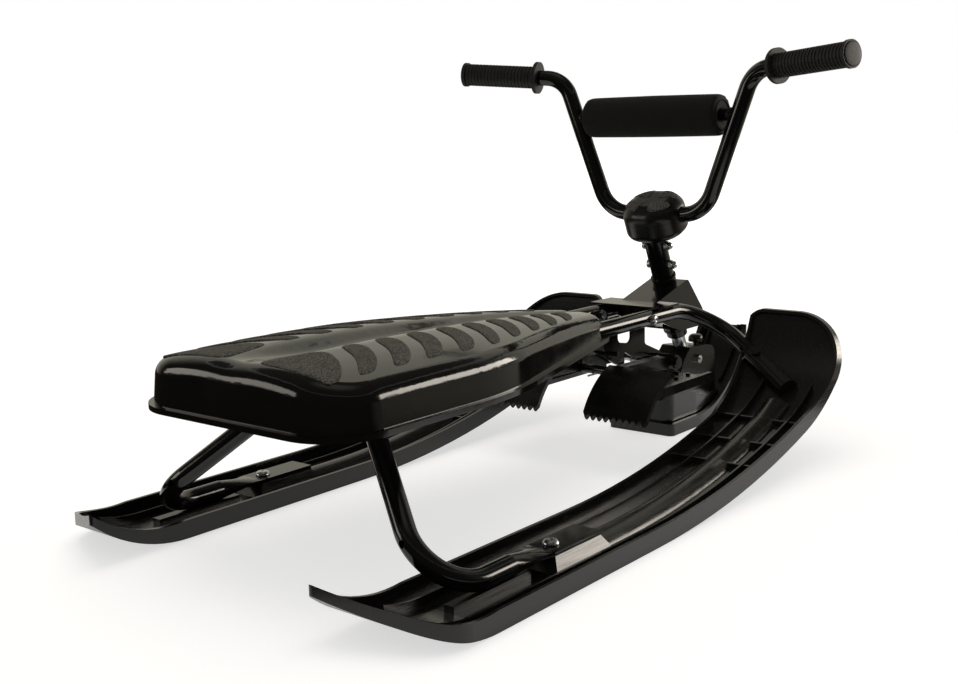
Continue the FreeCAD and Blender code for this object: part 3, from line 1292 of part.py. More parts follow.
knob_seat = Vector(0, ski_bolt_y(), size("tower_z") + 2)
knob_rod = Part.makeCylinder(size("screw_d") / 2, knob_seat.z - size("front_sole") / 2,
                             Vector(0, ski_bolt_y(), size("front_sole") / 2), UP)
knob_head = Part.makeCylinder(size("knob_d") / 2, size("knob_d") / 2, knob_seat, UP)
knob_head = knob_head.makeFillet(size("knob_d") * 0.3, [knob_head.Edges[0]])
solid("ski_bolt", knob_head.fuse(knob_rod).removeSplitter())


# Brake: a hanger under the spine tubes carries a shaft; two pedals with claws turn on it together.

pivot = Vector(0, size("brake_y"), size("brake_z"))
link_z = size("brake_z") - size("spring_coil") / 2 + size("spring_wire") / 2 + size("link_d") / 2
side_turn = Rotation(Vector(1, 1, 1), 120)
post_rear = size("seat_nose") + size("lip_width") + size("post_gap")
hanger_half = size("spine_half") - size("tube_d") / 2


def side_plate(corners, left, right):
    """A plate with a (y, z, radius) outline, from x = left to x = right."""
    face = outline_face(corners)
    face.Placement = Placement(Vector(left, 0, 0), side_turn)
    return face.extrude(RIGHT * (right - left))


def hanger_bolt_places():
    """The bolts through the spine tubes into the hanger's front posts, as (y, z)."""
    return [(size("post_front_y") + size("post_width") / 2, size("spine_z"))]


def make_hanger():
    outer, thick = hanger_half, size("hanger_thick")
    top = size("spine_z") + size("tube_d") * 0.3
    rear, front, width = post_rear, size("post_front_y"), size("post_width")
    rail = size("hanger_rail")
    low_rear = size("hanger_rear_z")
    slope = (size("brake_z") + size("hub_d") / 2 - low_rear) / (size("brake_y") - rear)
    stop = link_z + size("link_d") / 2 + size("fit")
    lug = size("link_y")

    def under(y):
        return low_rear + slope * (y - rear)

    def above(y):
        return under(y) + rail

    outline = [
        (rear, under(rear), 3), (lug - rail / 2, under(lug - rail / 2), 2), (lug - rail / 2, stop, 0),
        (lug + rail / 2, stop, 0), (lug + rail / 2, under(lug + rail / 2), 2),
        (size("brake_y") - size("hub_d") / 2, size("brake_z") - size("hub_d") / 2, 4),
        (size("brake_y") + size("hub_d") / 2, size("brake_z") - size("hub_d") / 2, 8),
        (size("brake_y") + size("hub_d") / 2, size("brake_z") + size("hub_d") / 2, 8),
        (front + width, above(front + width), 6), (front + width, top, 4), (front, top, 4),
        (front, above(front), 8), (rear + width, above(rear + width), 8),
        (rear + width, top, 4), (rear, top, 4),
    ]
    body = side_plate(outline, outer - thick, outer).fuse(side_plate(outline, -outer, -outer + thick))
    tie = side_plate([(rear, under(rear), 0), (rear + rail, under(rear + rail), 0),
                      (rear + rail, above(rear + rail), 0), (rear, above(rear), 0)], -outer + thick / 2,
                     outer - thick / 2)
    rest = size("brake_z") + size("spring_coil") / 2 + size("spring_wire") / 2 + size("fit")
    stay = Part.makeBox(2 * outer - thick, rail, rail / 2,
                        Vector(-outer + thick / 2, size("brake_y") - size("hub_d") - rail, rest))
    body = body.multiFuse([tie, stay]).removeSplitter()
    bore = Part.makeCylinder(size("brake_shaft_d") / 2, 4 * outer, pivot - RIGHT * 2 * outer, RIGHT)
    body = body.cut(bore)
    for y, z in hanger_bolt_places():
        body = body.cut(Part.makeCylinder(size("screw_d") / 2, 4 * outer, Vector(-2 * outer, y, z), RIGHT))
    return body


solid("brake_hanger", make_hanger())
hanger_bolts, hanger_nuts = [], []
tube_side = size("spine_half") + size("tube_d") / 2
for side, sign in (("right", 1), ("left", -1)):
    for i, (y, z) in enumerate(hanger_bolt_places()):
        hanger_bolts.append(bolt("hanger_bolt_%s_%d" % (side, i), Vector(sign * tube_side, y, z),
                                 RIGHT * -sign, "sizes.tube_d + sizes.hanger_thick + sizes.screw_d * 1.2"))
        inside = hanger_half - size("hanger_thick")
        hanger_nuts.append(nut("hanger_nut_%s_%d" % (side, i), Vector(sign * inside, y, z), RIGHT * -sign))
keep(group("hanger_bolts", hanger_bolts), "hanger_bolts")
keep(group("hanger_nuts", hanger_nuts), "hanger_nuts")
keep(rod("brake_shaft", "sizes.brake_shaft_d / 2", "2 * sizes.brake_half",
         pivot - RIGHT * size("brake_half"), RIGHT), "brake_shaft")
shaft_caps = []
for side, sign in (("right", 1), ("left", -1)):
    shaft_caps.append(rod("shaft_cap_" + side, "sizes.brake_shaft_d / 2 + 3", "sizes.screw_head",
                          pivot + RIGHT * sign * size("brake_half"), RIGHT * sign))
keep(group("shaft_caps", shaft_caps), "shaft_caps")


def make_pedal():
    """The right pedal: hub, arm, studded foot plate and a curved toothed claw in one moulding."""
    inner, outer = size("claw_inner"), size("claw_outer")
    plate_top, plate_thick, front = size("foot_plate_z"), size("foot_plate_thick"), size("foot_plate_front")
    top = Vector(0, size("claw_top_y"), size("claw_top_z"))
    edge = Vector(0, size("claw_edge_y"), size("claw_edge_z"))
    down = (edge - top).normalize()
    out = down.cross(RIGHT)
    long, bulge = (edge - top).Length, size("claw_bulge")
    radius = (long ** 2 / 4 + bulge ** 2) / (2 * bulge)
    centre = (top + edge) / 2 - out * (radius - bulge)

    def claw_y(z):
        """Where the middle of the claw's curve is along the sled at a height."""
        return centre.y - math.sqrt(radius ** 2 - (z - centre.z) ** 2)

    def arc(offset):
        ends = [centre + (point - centre).normalize() * (radius + offset) for point in (top, edge)]
        return Part.Arc(ends[0], centre + out * (radius + offset), ends[1]), ends

    outside, outer_ends = arc(size("claw_thick") / 2)
    inside, inner_ends = arc(-size("claw_thick") / 2)
    sides = [Part.LineSegment(a, b) for a, b in zip(outer_ends, inner_ends)]
    edges = [curve.toShape() for curve in [outside, inside] + sides]
    band = Part.Face(Part.Wire(Part.__sortEdges__(edges))).extrude(RIGHT * (outer - inner))
    band.translate(RIGHT * inner)
    # The teeth are drawn flat along the far edge and cut straight through the curved claw.
    pitch = (outer - inner) / size("tooth_count")
    reach = long + 2 * size("claw_thick")
    shape = [Vector(inner, -reach, 0), Vector(outer, -reach, 0),
             Vector(outer, long - size("tooth_depth"), 0)]
    for i in range(int(size("tooth_count"))):
        right = outer - i * pitch
        shape.append(Vector(right - pitch / 2, long, 0))
        shape.append(Vector(right - pitch, long - size("tooth_depth"), 0))
    comb = Part.Face(Part.makePolygon(shape + shape[:1])).extrude(UP * 2 * reach)
    comb.translate(UP * -reach)
    comb.Placement = Placement(top, Rotation(FORWARD, down)).multiply(comb.Placement)
    claw = band.common(comb)

    half_arm, corner = size("hub_d") / 2, size("arm_corner")
    hub = Part.makeCylinder(half_arm, size("brake_half") - size("fit") - inner, pivot + RIGHT * inner, RIGHT)
    back = claw_y(plate_top - plate_thick / 2)
    floor = Part.makeBox(outer - inner, front - back, plate_thick,
                         Vector(inner, back, plate_top - plate_thick))
    arm_low = plate_top + plate_thick / 2
    arm = side_plate([(claw_y(arm_low), arm_low, 0),
                      (size("brake_y"), size("brake_z") - half_arm * 0.8, corner),
                      (size("brake_y"), size("brake_z") + half_arm * 0.8, corner), (top.y, top.z, 0)],
                     inner, inner + size("hub_d") * 0.8)
    rim = side_plate([(claw_y(plate_top - plate_thick), plate_top - plate_thick, 0),
                      (front, plate_top - plate_thick, 0), (front, plate_top + plate_thick, 0),
                      (claw_y(plate_top + plate_thick), plate_top + plate_thick, 0)],
                     outer - plate_thick, outer)
    studs = []
    rows = int(size("stud_rows"))
    first, last = back + size("stud_start"), front - size("stud_edge")
    for i in range(rows):
        for j in range(rows):
            x = size("foot_plate_inner") + (outer - size("foot_plate_inner")) * (j + 0.6) / (rows + 0.4)
            y = first + (last - first) * i / (rows - 1)
            studs.append(Part.makeCylinder(size("stud_height"), plate_thick / 2 + size("stud_height"),
                                           Vector(x, y, plate_top - plate_thick / 2), UP))
    body = claw.multiFuse([hub, floor, arm, rim] + studs).removeSplitter()
    body = body.cut(Part.makeCylinder(size("brake_shaft_d") / 2 + size("run_fit"), 2 * outer, pivot, RIGHT))
    return body.cut(Part.makeCylinder(size("link_d") / 2, inner + size("hub_d") * 0.2, link_middle(), RIGHT))


def link_middle():
    """Middle of the rod that joins the two pedals."""
    return Vector(0, size("link_y"), link_z)


pair("brake_pedal", make_pedal)
keep(rod("pedal_link", "sizes.link_d / 2", "2 * sizes.claw_inner + sizes.hub_d * 0.4",
         link_middle() - RIGHT * (size("claw_inner") + size("hub_d") * 0.2), RIGHT), "pedal_link")


def make_spring():
    """The return spring: one wire, coiled round the shaft, with legs under the link and the stay."""
    radius, turns, rise = size("spring_coil") / 2, size("spring_turns"), size("spring_pitch")
    length = turns * rise
    steps = 8
    count = int(turns * steps)
    points = []
    # The coils start below the shaft and end above it, so that both legs run to the rear.
    total = turns * 2 * math.pi + math.pi
    for i in range(2 * count + 1):
        angle = -math.pi / 2 + total * i / (2 * count)
        across = -length / 2 + length * i / (2 * count)
        points.append(pivot + Vector(across, radius * math.cos(angle), radius * math.sin(angle)))
    edges = [Part.Arc(points[2 * i], points[2 * i + 1], points[2 * i + 2]).toShape() for i in range(count)]
    first = edges[0].tangentAt(edges[0].FirstParameter)
    last = edges[-1].tangentAt(edges[-1].LastParameter)
    leg_low = points[0] - first * (size("brake_y") - size("link_y") + size("link_d"))
    leg_high = points[-1] + last * (size("hub_d") + size("hanger_rail"))
    wire = Part.Wire([Part.LineSegment(leg_low, points[0]).toShape()] + edges
                     + [Part.LineSegment(points[-1], leg_high).toShape()])
    print("spring: least gap between coils", round(rise * turns / (turns + 0.5) - size("spring_wire"), 2))
    return swept(wire, size("spring_wire") / 2)


solid("return_spring", make_spring())

pair("ski", make_ski)
pair("frame_tube", make_frame_tube)

doc.recompute()
os.makedirs("parts", exist_ok=True)
for piece in doc.Objects:
    if "Invalid" in piece.State or "Error" in piece.State:
        raise RuntimeError("not built: " + piece.Label)
for piece in nodes:
    if piece.Shape.isNull() or not piece.Shape.isValid():
        raise RuntimeError("bad shape: " + piece.Label)
    piece.Shape.exportStep("parts/%s.step" % piece.Label)
    box = piece.Shape.BoundBox
    print("%-20s %d solids %9.0f mm3  x %.1f..%.1f  y %.1f..%.1f  z %.1f..%.1f" % (
        piece.Label, len(piece.Shape.Solids), piece.Shape.Volume, box.XMin, box.XMax, box.YMin, box.YMax,
        box.ZMin, box.ZMax))
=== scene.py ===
# %% [markdown]
# # A steering sled for the snow
# The sled's rigid pieces come from the CAD frame, already in place and in metres. This lesson dresses
# them: it gives each finish a procedural material, sews the padded sleeve on the handlebar, lays the
# grip patches on the seat and adds the small things that catch the light, such as caps and welds.

# %% Load the frame
import json
import math

import bmesh
import bpy
import numpy as np
from mathutils import Matrix, Vector


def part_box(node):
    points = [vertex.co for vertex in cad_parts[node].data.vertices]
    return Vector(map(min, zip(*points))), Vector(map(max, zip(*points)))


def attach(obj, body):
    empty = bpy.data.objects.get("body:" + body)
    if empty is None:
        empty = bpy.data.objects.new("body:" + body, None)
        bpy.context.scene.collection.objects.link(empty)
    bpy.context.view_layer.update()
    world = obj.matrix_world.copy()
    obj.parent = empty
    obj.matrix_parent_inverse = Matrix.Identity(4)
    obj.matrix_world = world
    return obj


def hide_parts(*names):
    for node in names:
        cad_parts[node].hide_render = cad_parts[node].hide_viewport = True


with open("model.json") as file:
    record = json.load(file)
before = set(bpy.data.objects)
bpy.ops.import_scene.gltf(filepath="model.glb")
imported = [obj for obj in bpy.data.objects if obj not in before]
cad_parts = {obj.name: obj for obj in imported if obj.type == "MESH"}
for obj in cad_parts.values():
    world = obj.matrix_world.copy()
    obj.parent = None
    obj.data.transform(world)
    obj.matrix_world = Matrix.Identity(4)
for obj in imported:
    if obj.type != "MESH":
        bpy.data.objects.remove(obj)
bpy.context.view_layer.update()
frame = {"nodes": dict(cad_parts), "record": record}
MM = 0.001

# %% [markdown]
# ## Colours and nodes
# A colour picked from a picture is an sRGB value, but a shader works in linear light, so one function
# turns the hex value into linear numbers. Another small function adds one node, sets its properties
# and either fills a socket with a number or links another node's output to it.

# %% Helpers for materials
MIX_A, MIX_B, MIX_OUT = 6, 7, 2                  # a Mix node's sockets for colours, by number
NOISE_SPAN = {"From Min": 0.3, "From Max": 0.7}  # a noise texture seldom leaves this range


def linear(code):
    """Hex colour to linear light: each channel is divided by 12.92 near black, else raised to 2.4."""
    channel = np.array([int(code[i:i + 2], 16) for i in (1, 3, 5)]) / 255
    light = np.where(channel <= 0.04045, channel / 12.92, ((channel + 0.055) / 1.055) ** 2.4)
    return (*light.tolist(), 1.0)


def every(size):
    """Scale of a texture whose pattern is about size mm wide."""
    return 1 / (size * MM)


def add(tree, kind, inputs=None, **settings):
    """Adds one node; inputs maps a socket's name or number to a value or to another node's output."""
    node = tree.nodes.new("ShaderNode" + kind)
    for key, value in settings.items():
        setattr(node, key, value)
    for key, value in (inputs or {}).items():
        if isinstance(value, bpy.types.NodeSocket):
            tree.links.new(value, node.inputs[key])
        else:
            node.inputs[key].default_value = value
    return node


def new_finish(name, base, roughness, ior=1.5, metallic=0.0):
    """A material with a cleared tree, one shader with its mean values set, and Object coordinates."""
    material = bpy.data.materials.new(name)
    material.use_nodes = True
    tree = material.node_tree
    tree.nodes.clear()
    shader = add(tree, "BsdfPrincipled", {"Base Color": linear(base), "Roughness": roughness, "IOR": ior,
                                          "Metallic": metallic})
    add(tree, "OutputMaterial", {"Surface": shader.outputs[0]})
    place = add(tree, "TexCoord").outputs["Object"]
    return material, tree, shader, place


def wire(tree, shader, sockets):
    """Lets patterns take over sockets of the shader: each named socket is linked to an output."""
    for name, output in sockets.items():
        tree.links.new(output, shader.inputs[name])


print("black at #0b0b0a is", np.round(linear("#0b0b0a")[:3], 4).tolist())

# %% [markdown]
# ## Polished polypropylene
# The seat is one injection moulding of black polypropylene from a polished mould. The eye gets long soft
# reflections that waver a little, because thick plastic sinks as it cools. So the roughness stays low,
# a noise some 9 mm across bends the reflections, and a broader one of 60 mm dulls them in places.

# %% Seat plastic
seat_plastic, tree, shader, place = new_finish("polished_polypropylene", "#0c0b0a", 0.1, 1.49)
sink = add(tree, "TexNoise", {"Vector": place, "Scale": every(9), "Detail": 2.0, "Roughness": 0.5})
wipe = add(tree, "TexNoise", {"Vector": place, "Scale": every(60), "Detail": 6.0, "Roughness": 0.65})
gloss = add(tree, "MapRange", {"Value": wipe.outputs[0], **NOISE_SPAN, "To Min": 0.07, "To Max": 0.15})
bump = add(tree, "Bump", {"Height": sink.outputs[0], "Strength": 0.25, "Distance": 0.15 * MM})
wire(tree, shader, {"Roughness": gloss.outputs[0], "Normal": bump.outputs[0]})
print("finish:", seat_plastic.name)

# %% [markdown]
# ## Satin polyethylene
# Skis are moulded in polyethylene, which is waxy: the reflection spreads and the surface picks up fine
# scuffs along the way it slides. A noise that is stretched 30 times along the ski draws the scuffs, which
# are drawn about 1.5 mm wide so that they show, and a fine grain of 1.2 mm gives the moulded skin.

# %% Ski plastic
ski_plastic, tree, shader, place = new_finish("satin_polyethylene", "#0f0e0d", 0.22, 1.51)
along = add(tree, "Mapping", {"Vector": place, "Scale": (1.0, 1 / 30, 1.0)})
scuff = add(tree, "TexNoise", {"Vector": along.outputs[0], "Scale": every(1.5), "Detail": 3.0})
grain = add(tree, "TexNoise", {"Vector": place, "Scale": every(1.2), "Detail": 2.0})
spread = add(tree, "MapRange", {"Value": scuff.outputs[0], "From Min": 0.35, "From Max": 0.75,
                                "To Min": 0.15, "To Max": 0.3})
tone = add(tree, "Mix", {"Factor": scuff.outputs[0], MIX_A: linear("#0b0a0a"), MIX_B: linear("#171614")},
           data_type="RGBA")
bump = add(tree, "Bump", {"Height": grain.outputs[0], "Strength": 0.3, "Distance": 0.06 * MM})
wire(tree, shader, {"Base Color": tone.outputs[MIX_OUT], "Roughness": spread.outputs[0],
                    "Normal": bump.outputs[0]})
print("finish:", ski_plastic.name)

# %% [markdown]
# ## Powder coat
# The steel tubes and brackets are powder coated. The powder melts into a thick glossy skin with orange
# peel, a ripple some 2.5 mm across that breaks a highlight into a soft, slightly lumpy line.

# %% Frame paint
powder_coat, tree, shader, place = new_finish("gloss_powder_coat", "#0a0a0a", 0.14, 1.52)
peel = add(tree, "TexNoise", {"Vector": place, "Scale": every(2.5), "Detail": 1.0})
dust = add(tree, "TexNoise", {"Vector": place, "Scale": every(25), "Detail": 5.0})
haze = add(tree, "MapRange", {"Value": dust.outputs[0], **NOISE_SPAN, "To Min": 0.1, "To Max": 0.19})
bump = add(tree, "Bump", {"Height": peel.outputs[0], "Strength": 0.3, "Distance": 0.05 * MM})
wire(tree, shader, {"Roughness": haze.outputs[0], "Normal": bump.outputs[0]})
print("finish:", powder_coat.name)

# %% [markdown]
# ## Etched plastic
# The console, pedals and bushes come from moulds with a lightly etched grain, so they have a semi-gloss
# where the seat has a polish. A cell pattern of about 1 mm stands for the etching, and a cloud some 40 mm
# across varies the tone and the gloss a little.

# %% Trim plastic
etched_plastic, tree, shader, place = new_finish("etched_polypropylene", "#0e0d0c", 0.26, 1.49)
etch = add(tree, "TexVoronoi", {"Vector": place, "Scale": every(1.0)})
cloud = add(tree, "TexNoise", {"Vector": place, "Scale": every(40), "Detail": 3.0})
tone = add(tree, "Mix", {"Factor": cloud.outputs[0], MIX_A: linear("#0b0a09"), MIX_B: linear("#131210")},
           data_type="RGBA")
dry = add(tree, "MapRange", {"Value": cloud.outputs[0], **NOISE_SPAN, "To Min": 0.2, "To Max": 0.33})
bump = add(tree, "Bump", {"Height": etch.outputs["Distance"], "Strength": 0.15, "Distance": 0.03 * MM})
wire(tree, shader, {"Base Color": tone.outputs[MIX_OUT], "Roughness": dry.outputs[0],
                    "Normal": bump.outputs[0]})
print("finish:", etched_plastic.name)

# %% [markdown]
# ## Moulded rubber
# The grips are soft black rubber. Rubber has hardly a highlight: a wide, weak sheen with a bloom, the grey
# film that rises to its surface, strongest in patches about 8 mm wide.

# %% Grip rubber
soft_rubber, tree, shader, place = new_finish("moulded_rubber", "#161513", 0.58, 1.52)
bloom = add(tree, "TexNoise", {"Vector": place, "Scale": every(8), "Detail": 5.0})
pores = add(tree, "TexNoise", {"Vector": place, "Scale": every(0.9), "Detail": 2.0})
tone = add(tree, "Mix", {"Factor": bloom.outputs[0], MIX_A: linear("#100f0e"), MIX_B: linear("#24221f")},
           data_type="RGBA")
bump = add(tree, "Bump", {"Height": pores.outputs[0], "Strength": 0.35, "Distance": 0.1 * MM})
wire(tree, shader, {"Base Color": tone.outputs[MIX_OUT], "Normal": bump.outputs[0]})
print("finish:", soft_rubber.name)

# %% [markdown]
# ## Zinc plate
# Screws, nuts and the steering shaft are zinc plated. Bright zinc is a silvery metal with a faint blue
# cast and cloudy patches about 5 mm across, where the plating grew at its own pace.

# %% Zinc
zinc_plate, tree, shader, place = new_finish("bright_zinc_plate", "#c3c6ca", 0.26, metallic=1.0)
cloud = add(tree, "TexNoise", {"Vector": place, "Scale": every(5), "Detail": 4.0})
tone = add(tree, "Mix", {"Factor": cloud.outputs[0], MIX_A: linear("#aeb4bd"), MIX_B: linear("#d8d9d6")},
           data_type="RGBA")
sheen = add(tree, "MapRange", {"Value": cloud.outputs[0], **NOISE_SPAN, "To Min": 0.2, "To Max": 0.36})
wire(tree, shader, {"Base Color": tone.outputs[MIX_OUT], "Roughness": sheen.outputs[0]})
print("finish:", zinc_plate.name)

# %% [markdown]
# ## Grit elastomer
# The seat's grip patches are a dark grey rubbery skin full of grit, so that a wet rider stays put. Cells of
# 1.6 mm stand proud as grains, drawn coarser than the real ones so that they show, and there is no gloss.
# The grains' tops are painted lighter and the gaps between them darker: painted light and shade that
# follow the relief.

# %% Patch material
grit_rubber, tree, shader, place = new_finish("grit_elastomer", "#3c3a35", 0.82, 1.5)
grit = add(tree, "TexVoronoi", {"Vector": place, "Scale": every(1.6)})
wear = add(tree, "TexNoise", {"Vector": place, "Scale": every(20), "Detail": 5.0})
# painted light and shade: the tone is light on the proud grain tops and dark in the gaps between them
painted_grain_shade = add(tree, "MapRange", {"Value": grit.outputs["Distance"], "From Min": 0.0, "From Max": 0.6})
tone = add(tree, "Mix", {"Factor": painted_grain_shade.outputs[0], MIX_A: linear("#7a766b"), MIX_B: linear("#2b2925")},
           data_type="RGBA")
dull = add(tree, "MapRange", {"Value": wear.outputs[0], **NOISE_SPAN, "To Min": 0.72, "To Max": 0.92})
bump = add(tree, "Bump", {"Height": grit.outputs["Distance"], "Strength": 0.6, "Distance": -0.4 * MM})
wire(tree, shader, {"Base Color": tone.outputs[MIX_OUT], "Roughness": dull.outputs[0],
                    "Normal": bump.outputs[0]})
print("finish:", grit_rubber.name)

# %% [markdown]
# ## Woven cover
# The pad on the crossbar is foam in a black woven sleeve. Threads run along the bar and round it. Object
# coordinates know only x, y and z, so the angle round the bar is worked out from y and z and laid flat.
# Real threads are about 0.6 mm apart; they are drawn 1.5 mm apart so that the weave shows.

# %% Pad fabric
low, high = (np.array(corner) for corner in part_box("bar_pad"))
PAD_MID, PAD_HALF, PAD_R = (low + high) / 2, (high[0] - low[0]) / 2, (high[2] - low[2]) / 2
THREAD = 1.5                                     # mm from thread to thread
WAVE_RUN = 2 * math.pi / 20                      # a wave texture repeats after this length at scale 1
woven_nylon, tree, shader, place = new_finish("woven_nylon", "#0b0a0a", 0.86, 1.5)
shader.inputs["Sheen Weight"].default_value = 0.03
shader.inputs["Sheen Roughness"].default_value = 0.5
centred = add(tree, "Mapping", {"Vector": place, "Location": (0, -PAD_MID[1], -PAD_MID[2])})
split = add(tree, "SeparateXYZ", {0: centred.outputs[0]})
turn = add(tree, "Math", {0: split.outputs["Z"], 1: split.outputs["Y"]}, operation="ARCTAN2")
girth = add(tree, "Math", {0: turn.outputs[0], 1: PAD_R}, operation="MULTIPLY")
flat = add(tree, "CombineXYZ", {0: split.outputs["X"], 1: girth.outputs[0]})
warp, weft = (add(tree, "TexWave", {"Vector": flat.outputs[0], "Scale": WAVE_RUN / (THREAD * MM)},
                  bands_direction=way) for way in "XY")
weave = add(tree, "Math", {0: warp.outputs[1], 1: weft.outputs[1]}, operation="MULTIPLY")
fade = add(tree, "TexNoise", {"Vector": place, "Scale": every(30), "Detail": 4.0})
tone = add(tree, "Mix", {"Factor": fade.outputs[0], MIX_A: linear("#070706"), MIX_B: linear("#0d0c0b")},
           data_type="RGBA")
bump = add(tree, "Bump", {"Height": weave.outputs[0], "Strength": 0.5, "Distance": 0.25 * MM})
wire(tree, shader, {"Base Color": tone.outputs[MIX_OUT], "Normal": bump.outputs[0]})
print("finish:", woven_nylon.name, "round a pad of radius", round(float(PAD_R), 4), "m")

# %% [markdown]
# ## Finishes on the frame
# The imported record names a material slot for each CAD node. Giving each slot its finish once is enough:
# every node takes the one its slot names, and its mesh is left alone.

# %% Dress the CAD nodes
FINISH = {"ski_plastic": ski_plastic, "seat_plastic": seat_plastic, "frame_paint": powder_coat,
          "trim_plastic": etched_plastic, "grip_rubber": soft_rubber, "pad_fabric": woven_nylon,
          "zinc_steel": zinc_plate}
for row in frame["record"]["subparts"]:
    node = frame["nodes"][row["node"]]
    for holder in node.material_slots:
        holder.material = FINISH[row["material_slot"]]

# %% [markdown]
# ## Surfaces from arrays
# Every new piece is a set of rings, each with the same number of points, computed as one numpy array.
# Joining neighbouring rings with quads makes the skin. A ring of zero size closes it as a pole, and
# several skins of the same make can share one mesh.

# %% From rings to a mesh
RIGHT, UP = np.array([1.0, 0, 0]), np.array([0, 0, 1.0])
SIDES = np.array([(-1.0, 1, 1), (1, 1, 1)])      # times a point on the right: the left one, the right one
MERGE = 0.001 * MM                               # points nearer than this are one


def skin(name, rings, finish, body, loop=False):
    """Rings have the shape (skins, rings, points, 3). Quads join ring to ring; loop joins last to first."""
    rings = np.asarray(rings, float)
    rings = rings.reshape((-1,) + rings.shape[-3:])
    index = np.arange(rings[..., 0].size).reshape(rings.shape[:3])
    if loop:
        index = np.concatenate([index, index[:, :1]], axis=1)
    near, far = index[:, :-1], index[:, 1:]
    quads = np.stack([near, np.roll(near, -1, 2), np.roll(far, -1, 2), far], -1).reshape(-1, 4)
    mesh = bpy.data.meshes.new(name)
    mesh.vertices.add(rings[..., 0].size)
    mesh.vertices.foreach_set("co", rings.ravel())
    mesh.loops.add(quads.size)
    mesh.loops.foreach_set("vertex_index", quads.ravel())
    mesh.polygons.add(len(quads))
    mesh.polygons.foreach_set("loop_start", np.arange(0, quads.size, 4))
    mesh.update(calc_edges=True)
    edit = bmesh.new()
    edit.from_mesh(mesh)
    bmesh.ops.remove_doubles(edit, verts=edit.verts, dist=MERGE)
    bmesh.ops.recalc_face_normals(edit, faces=edit.faces)
    edit.to_mesh(mesh)
    edit.free()
    mesh.polygons.foreach_set("use_smooth", np.ones(len(mesh.polygons), bool))
    mesh.materials.append(finish)
    piece = bpy.data.objects.new(name, mesh)
    bpy.context.collection.objects.link(piece)
    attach(piece, body)
    print(name, len(mesh.polygons), "faces")
    return piece


def turned(profile, centre, axis, points=40):
    """Surface of revolution: each (radius, height) of the profile, in mm, is a circle round the axis."""
    radius, height = np.array(profile, float).T * MM
    axis = Vector(axis).normalized()
    side = axis.orthogonal().normalized()
    third = axis.cross(side)
    angle = np.linspace(0, 2 * np.pi, points, endpoint=False)
    circle = np.cos(angle)[:, None] * np.array(side) + np.sin(angle)[:, None] * np.array(third)
    return (np.array(centre) + height[:, None, None] * np.array(axis)
            + radius[:, None, None] * circle[None])


print("a turned profile of two points gives an array of", turned([(1, 0), (1, 1)], (0, 0, 0), UP).shape)

# %% [markdown]
# ## The bar pad
# On the real sled a foam tube sits on the crossbar in a sewn sleeve, open at both ends. A plain cylinder
# would look hard, so the sleeve starts a little slimmer than the foam and a cloth simulation blows it up
# with air pressure. The bore is pinned, so the crossbar keeps its room.

# %% Pad profile
PAD_SHORT, PAD_SLIM, PAD_BORE = 3.0, 0.4, 8.6    # mm: off each end, off the radius, radius of the bore
FLAT, BORE_FLAT, SAG = 0.97, 0.985, 0.02         # shares: straight outside and inside, thinner at the ends
reach, slim = PAD_HALF / MM - PAD_SHORT, PAD_R / MM - PAD_SLIM
run = np.linspace(-1, 1, 45)
outer = np.stack([slim * (1 - SAG * run ** 2), reach * FLAT * run], 1)
edge = np.array([(0.97, 0.985), (0.9, 0.998), (0.82, 1.0), (0.6, 0.99), (0.42, 0.985)])
right_end = edge * (slim, reach)                 # the edge holds shares of the radius and of the reach
left_end = right_end[::-1] * (1, -1)
inner = np.stack([np.full(30, PAD_BORE), np.linspace(reach * BORE_FLAT, -reach * BORE_FLAT, 30)], 1)
profile = np.concatenate([outer, right_end, inner, left_end])
bar_pad = skin("bar_pad_cover", turned(profile, PAD_MID, RIGHT, 72), woven_nylon, "steering",
               loop=True)

# %% Blow the pad up
PAD_VOXEL, PAD_SWELL, PAD_PINNED = 4.5 * MM, 5 * MM, 12 * MM     # mesh size, most swelling, held radius
PAD_PRESSURE, SWELL_FRAMES = 4.0, 20


def points_of(mesh):
    """The mesh's vertices as an array of the shape (points, 3)."""
    row = np.empty(len(mesh.vertices) * 3)
    mesh.vertices.foreach_get("co", row)
    return row.reshape(-1, 3)


def off_axis(points):
    """Distance of points from the crossbar's middle line."""
    return np.hypot(points[:, 1] - PAD_MID[1], points[:, 2] - PAD_MID[2])


def inflate(piece):
    """Remeshes the piece, lets cloth swell under pressure, and keeps each point near its start: a longer
    step is shortened to PAD_SWELL."""
    bpy.context.view_layer.objects.active = piece
    remesh = piece.modifiers.new("even_mesh", "REMESH")
    remesh.mode, remesh.voxel_size, remesh.use_smooth_shade = "VOXEL", PAD_VOXEL, True
    with bpy.context.temp_override(object=piece, active_object=piece, selected_objects=[piece]):
        bpy.ops.object.modifier_apply(modifier=remesh.name)
    start = points_of(piece.data)
    hold = piece.vertex_groups.new(name="hold")
    hold.add(np.flatnonzero(off_axis(start) < PAD_PINNED).tolist(), 1.0, "REPLACE")
    cloth = piece.modifiers.new("swell", "CLOTH")
    cloth.settings.use_pressure = True
    cloth.settings.uniform_pressure_force = PAD_PRESSURE
    cloth.settings.effector_weights.gravity = 0
    cloth.settings.vertex_group_mass = hold.name
    for number in range(1, SWELL_FRAMES + 1):
        bpy.context.scene.frame_set(number)
    step = points_of(piece.evaluated_get(bpy.context.evaluated_depsgraph_get()).to_mesh()) - start
    piece.modifiers.remove(cloth)
    bpy.context.scene.frame_set(1)
    length = np.linalg.norm(step, axis=1, keepdims=True)
    capped = start + step * np.minimum(1, PAD_SWELL / np.maximum(length, 1e-9))
    piece.data.vertices.foreach_set("co", capped.ravel())
    piece.data.update()
    print("swelled by", round(float(length.max()) / MM, 2), "mm at most, kept to", PAD_SWELL / MM)


inflate(bar_pad)
smooth = bar_pad.modifiers.new("smooth", "SUBSURF")
smooth.levels = smooth.render_levels = 1
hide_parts("bar_pad")

# %% [markdown]
# ## Hems on the pad
# Each end of the sleeve is turned in and stitched. The hem is a soft roll: a small circle carried round
# the end of the pad, with a ripple for each stitch. It is placed on the swollen pad by measuring it.

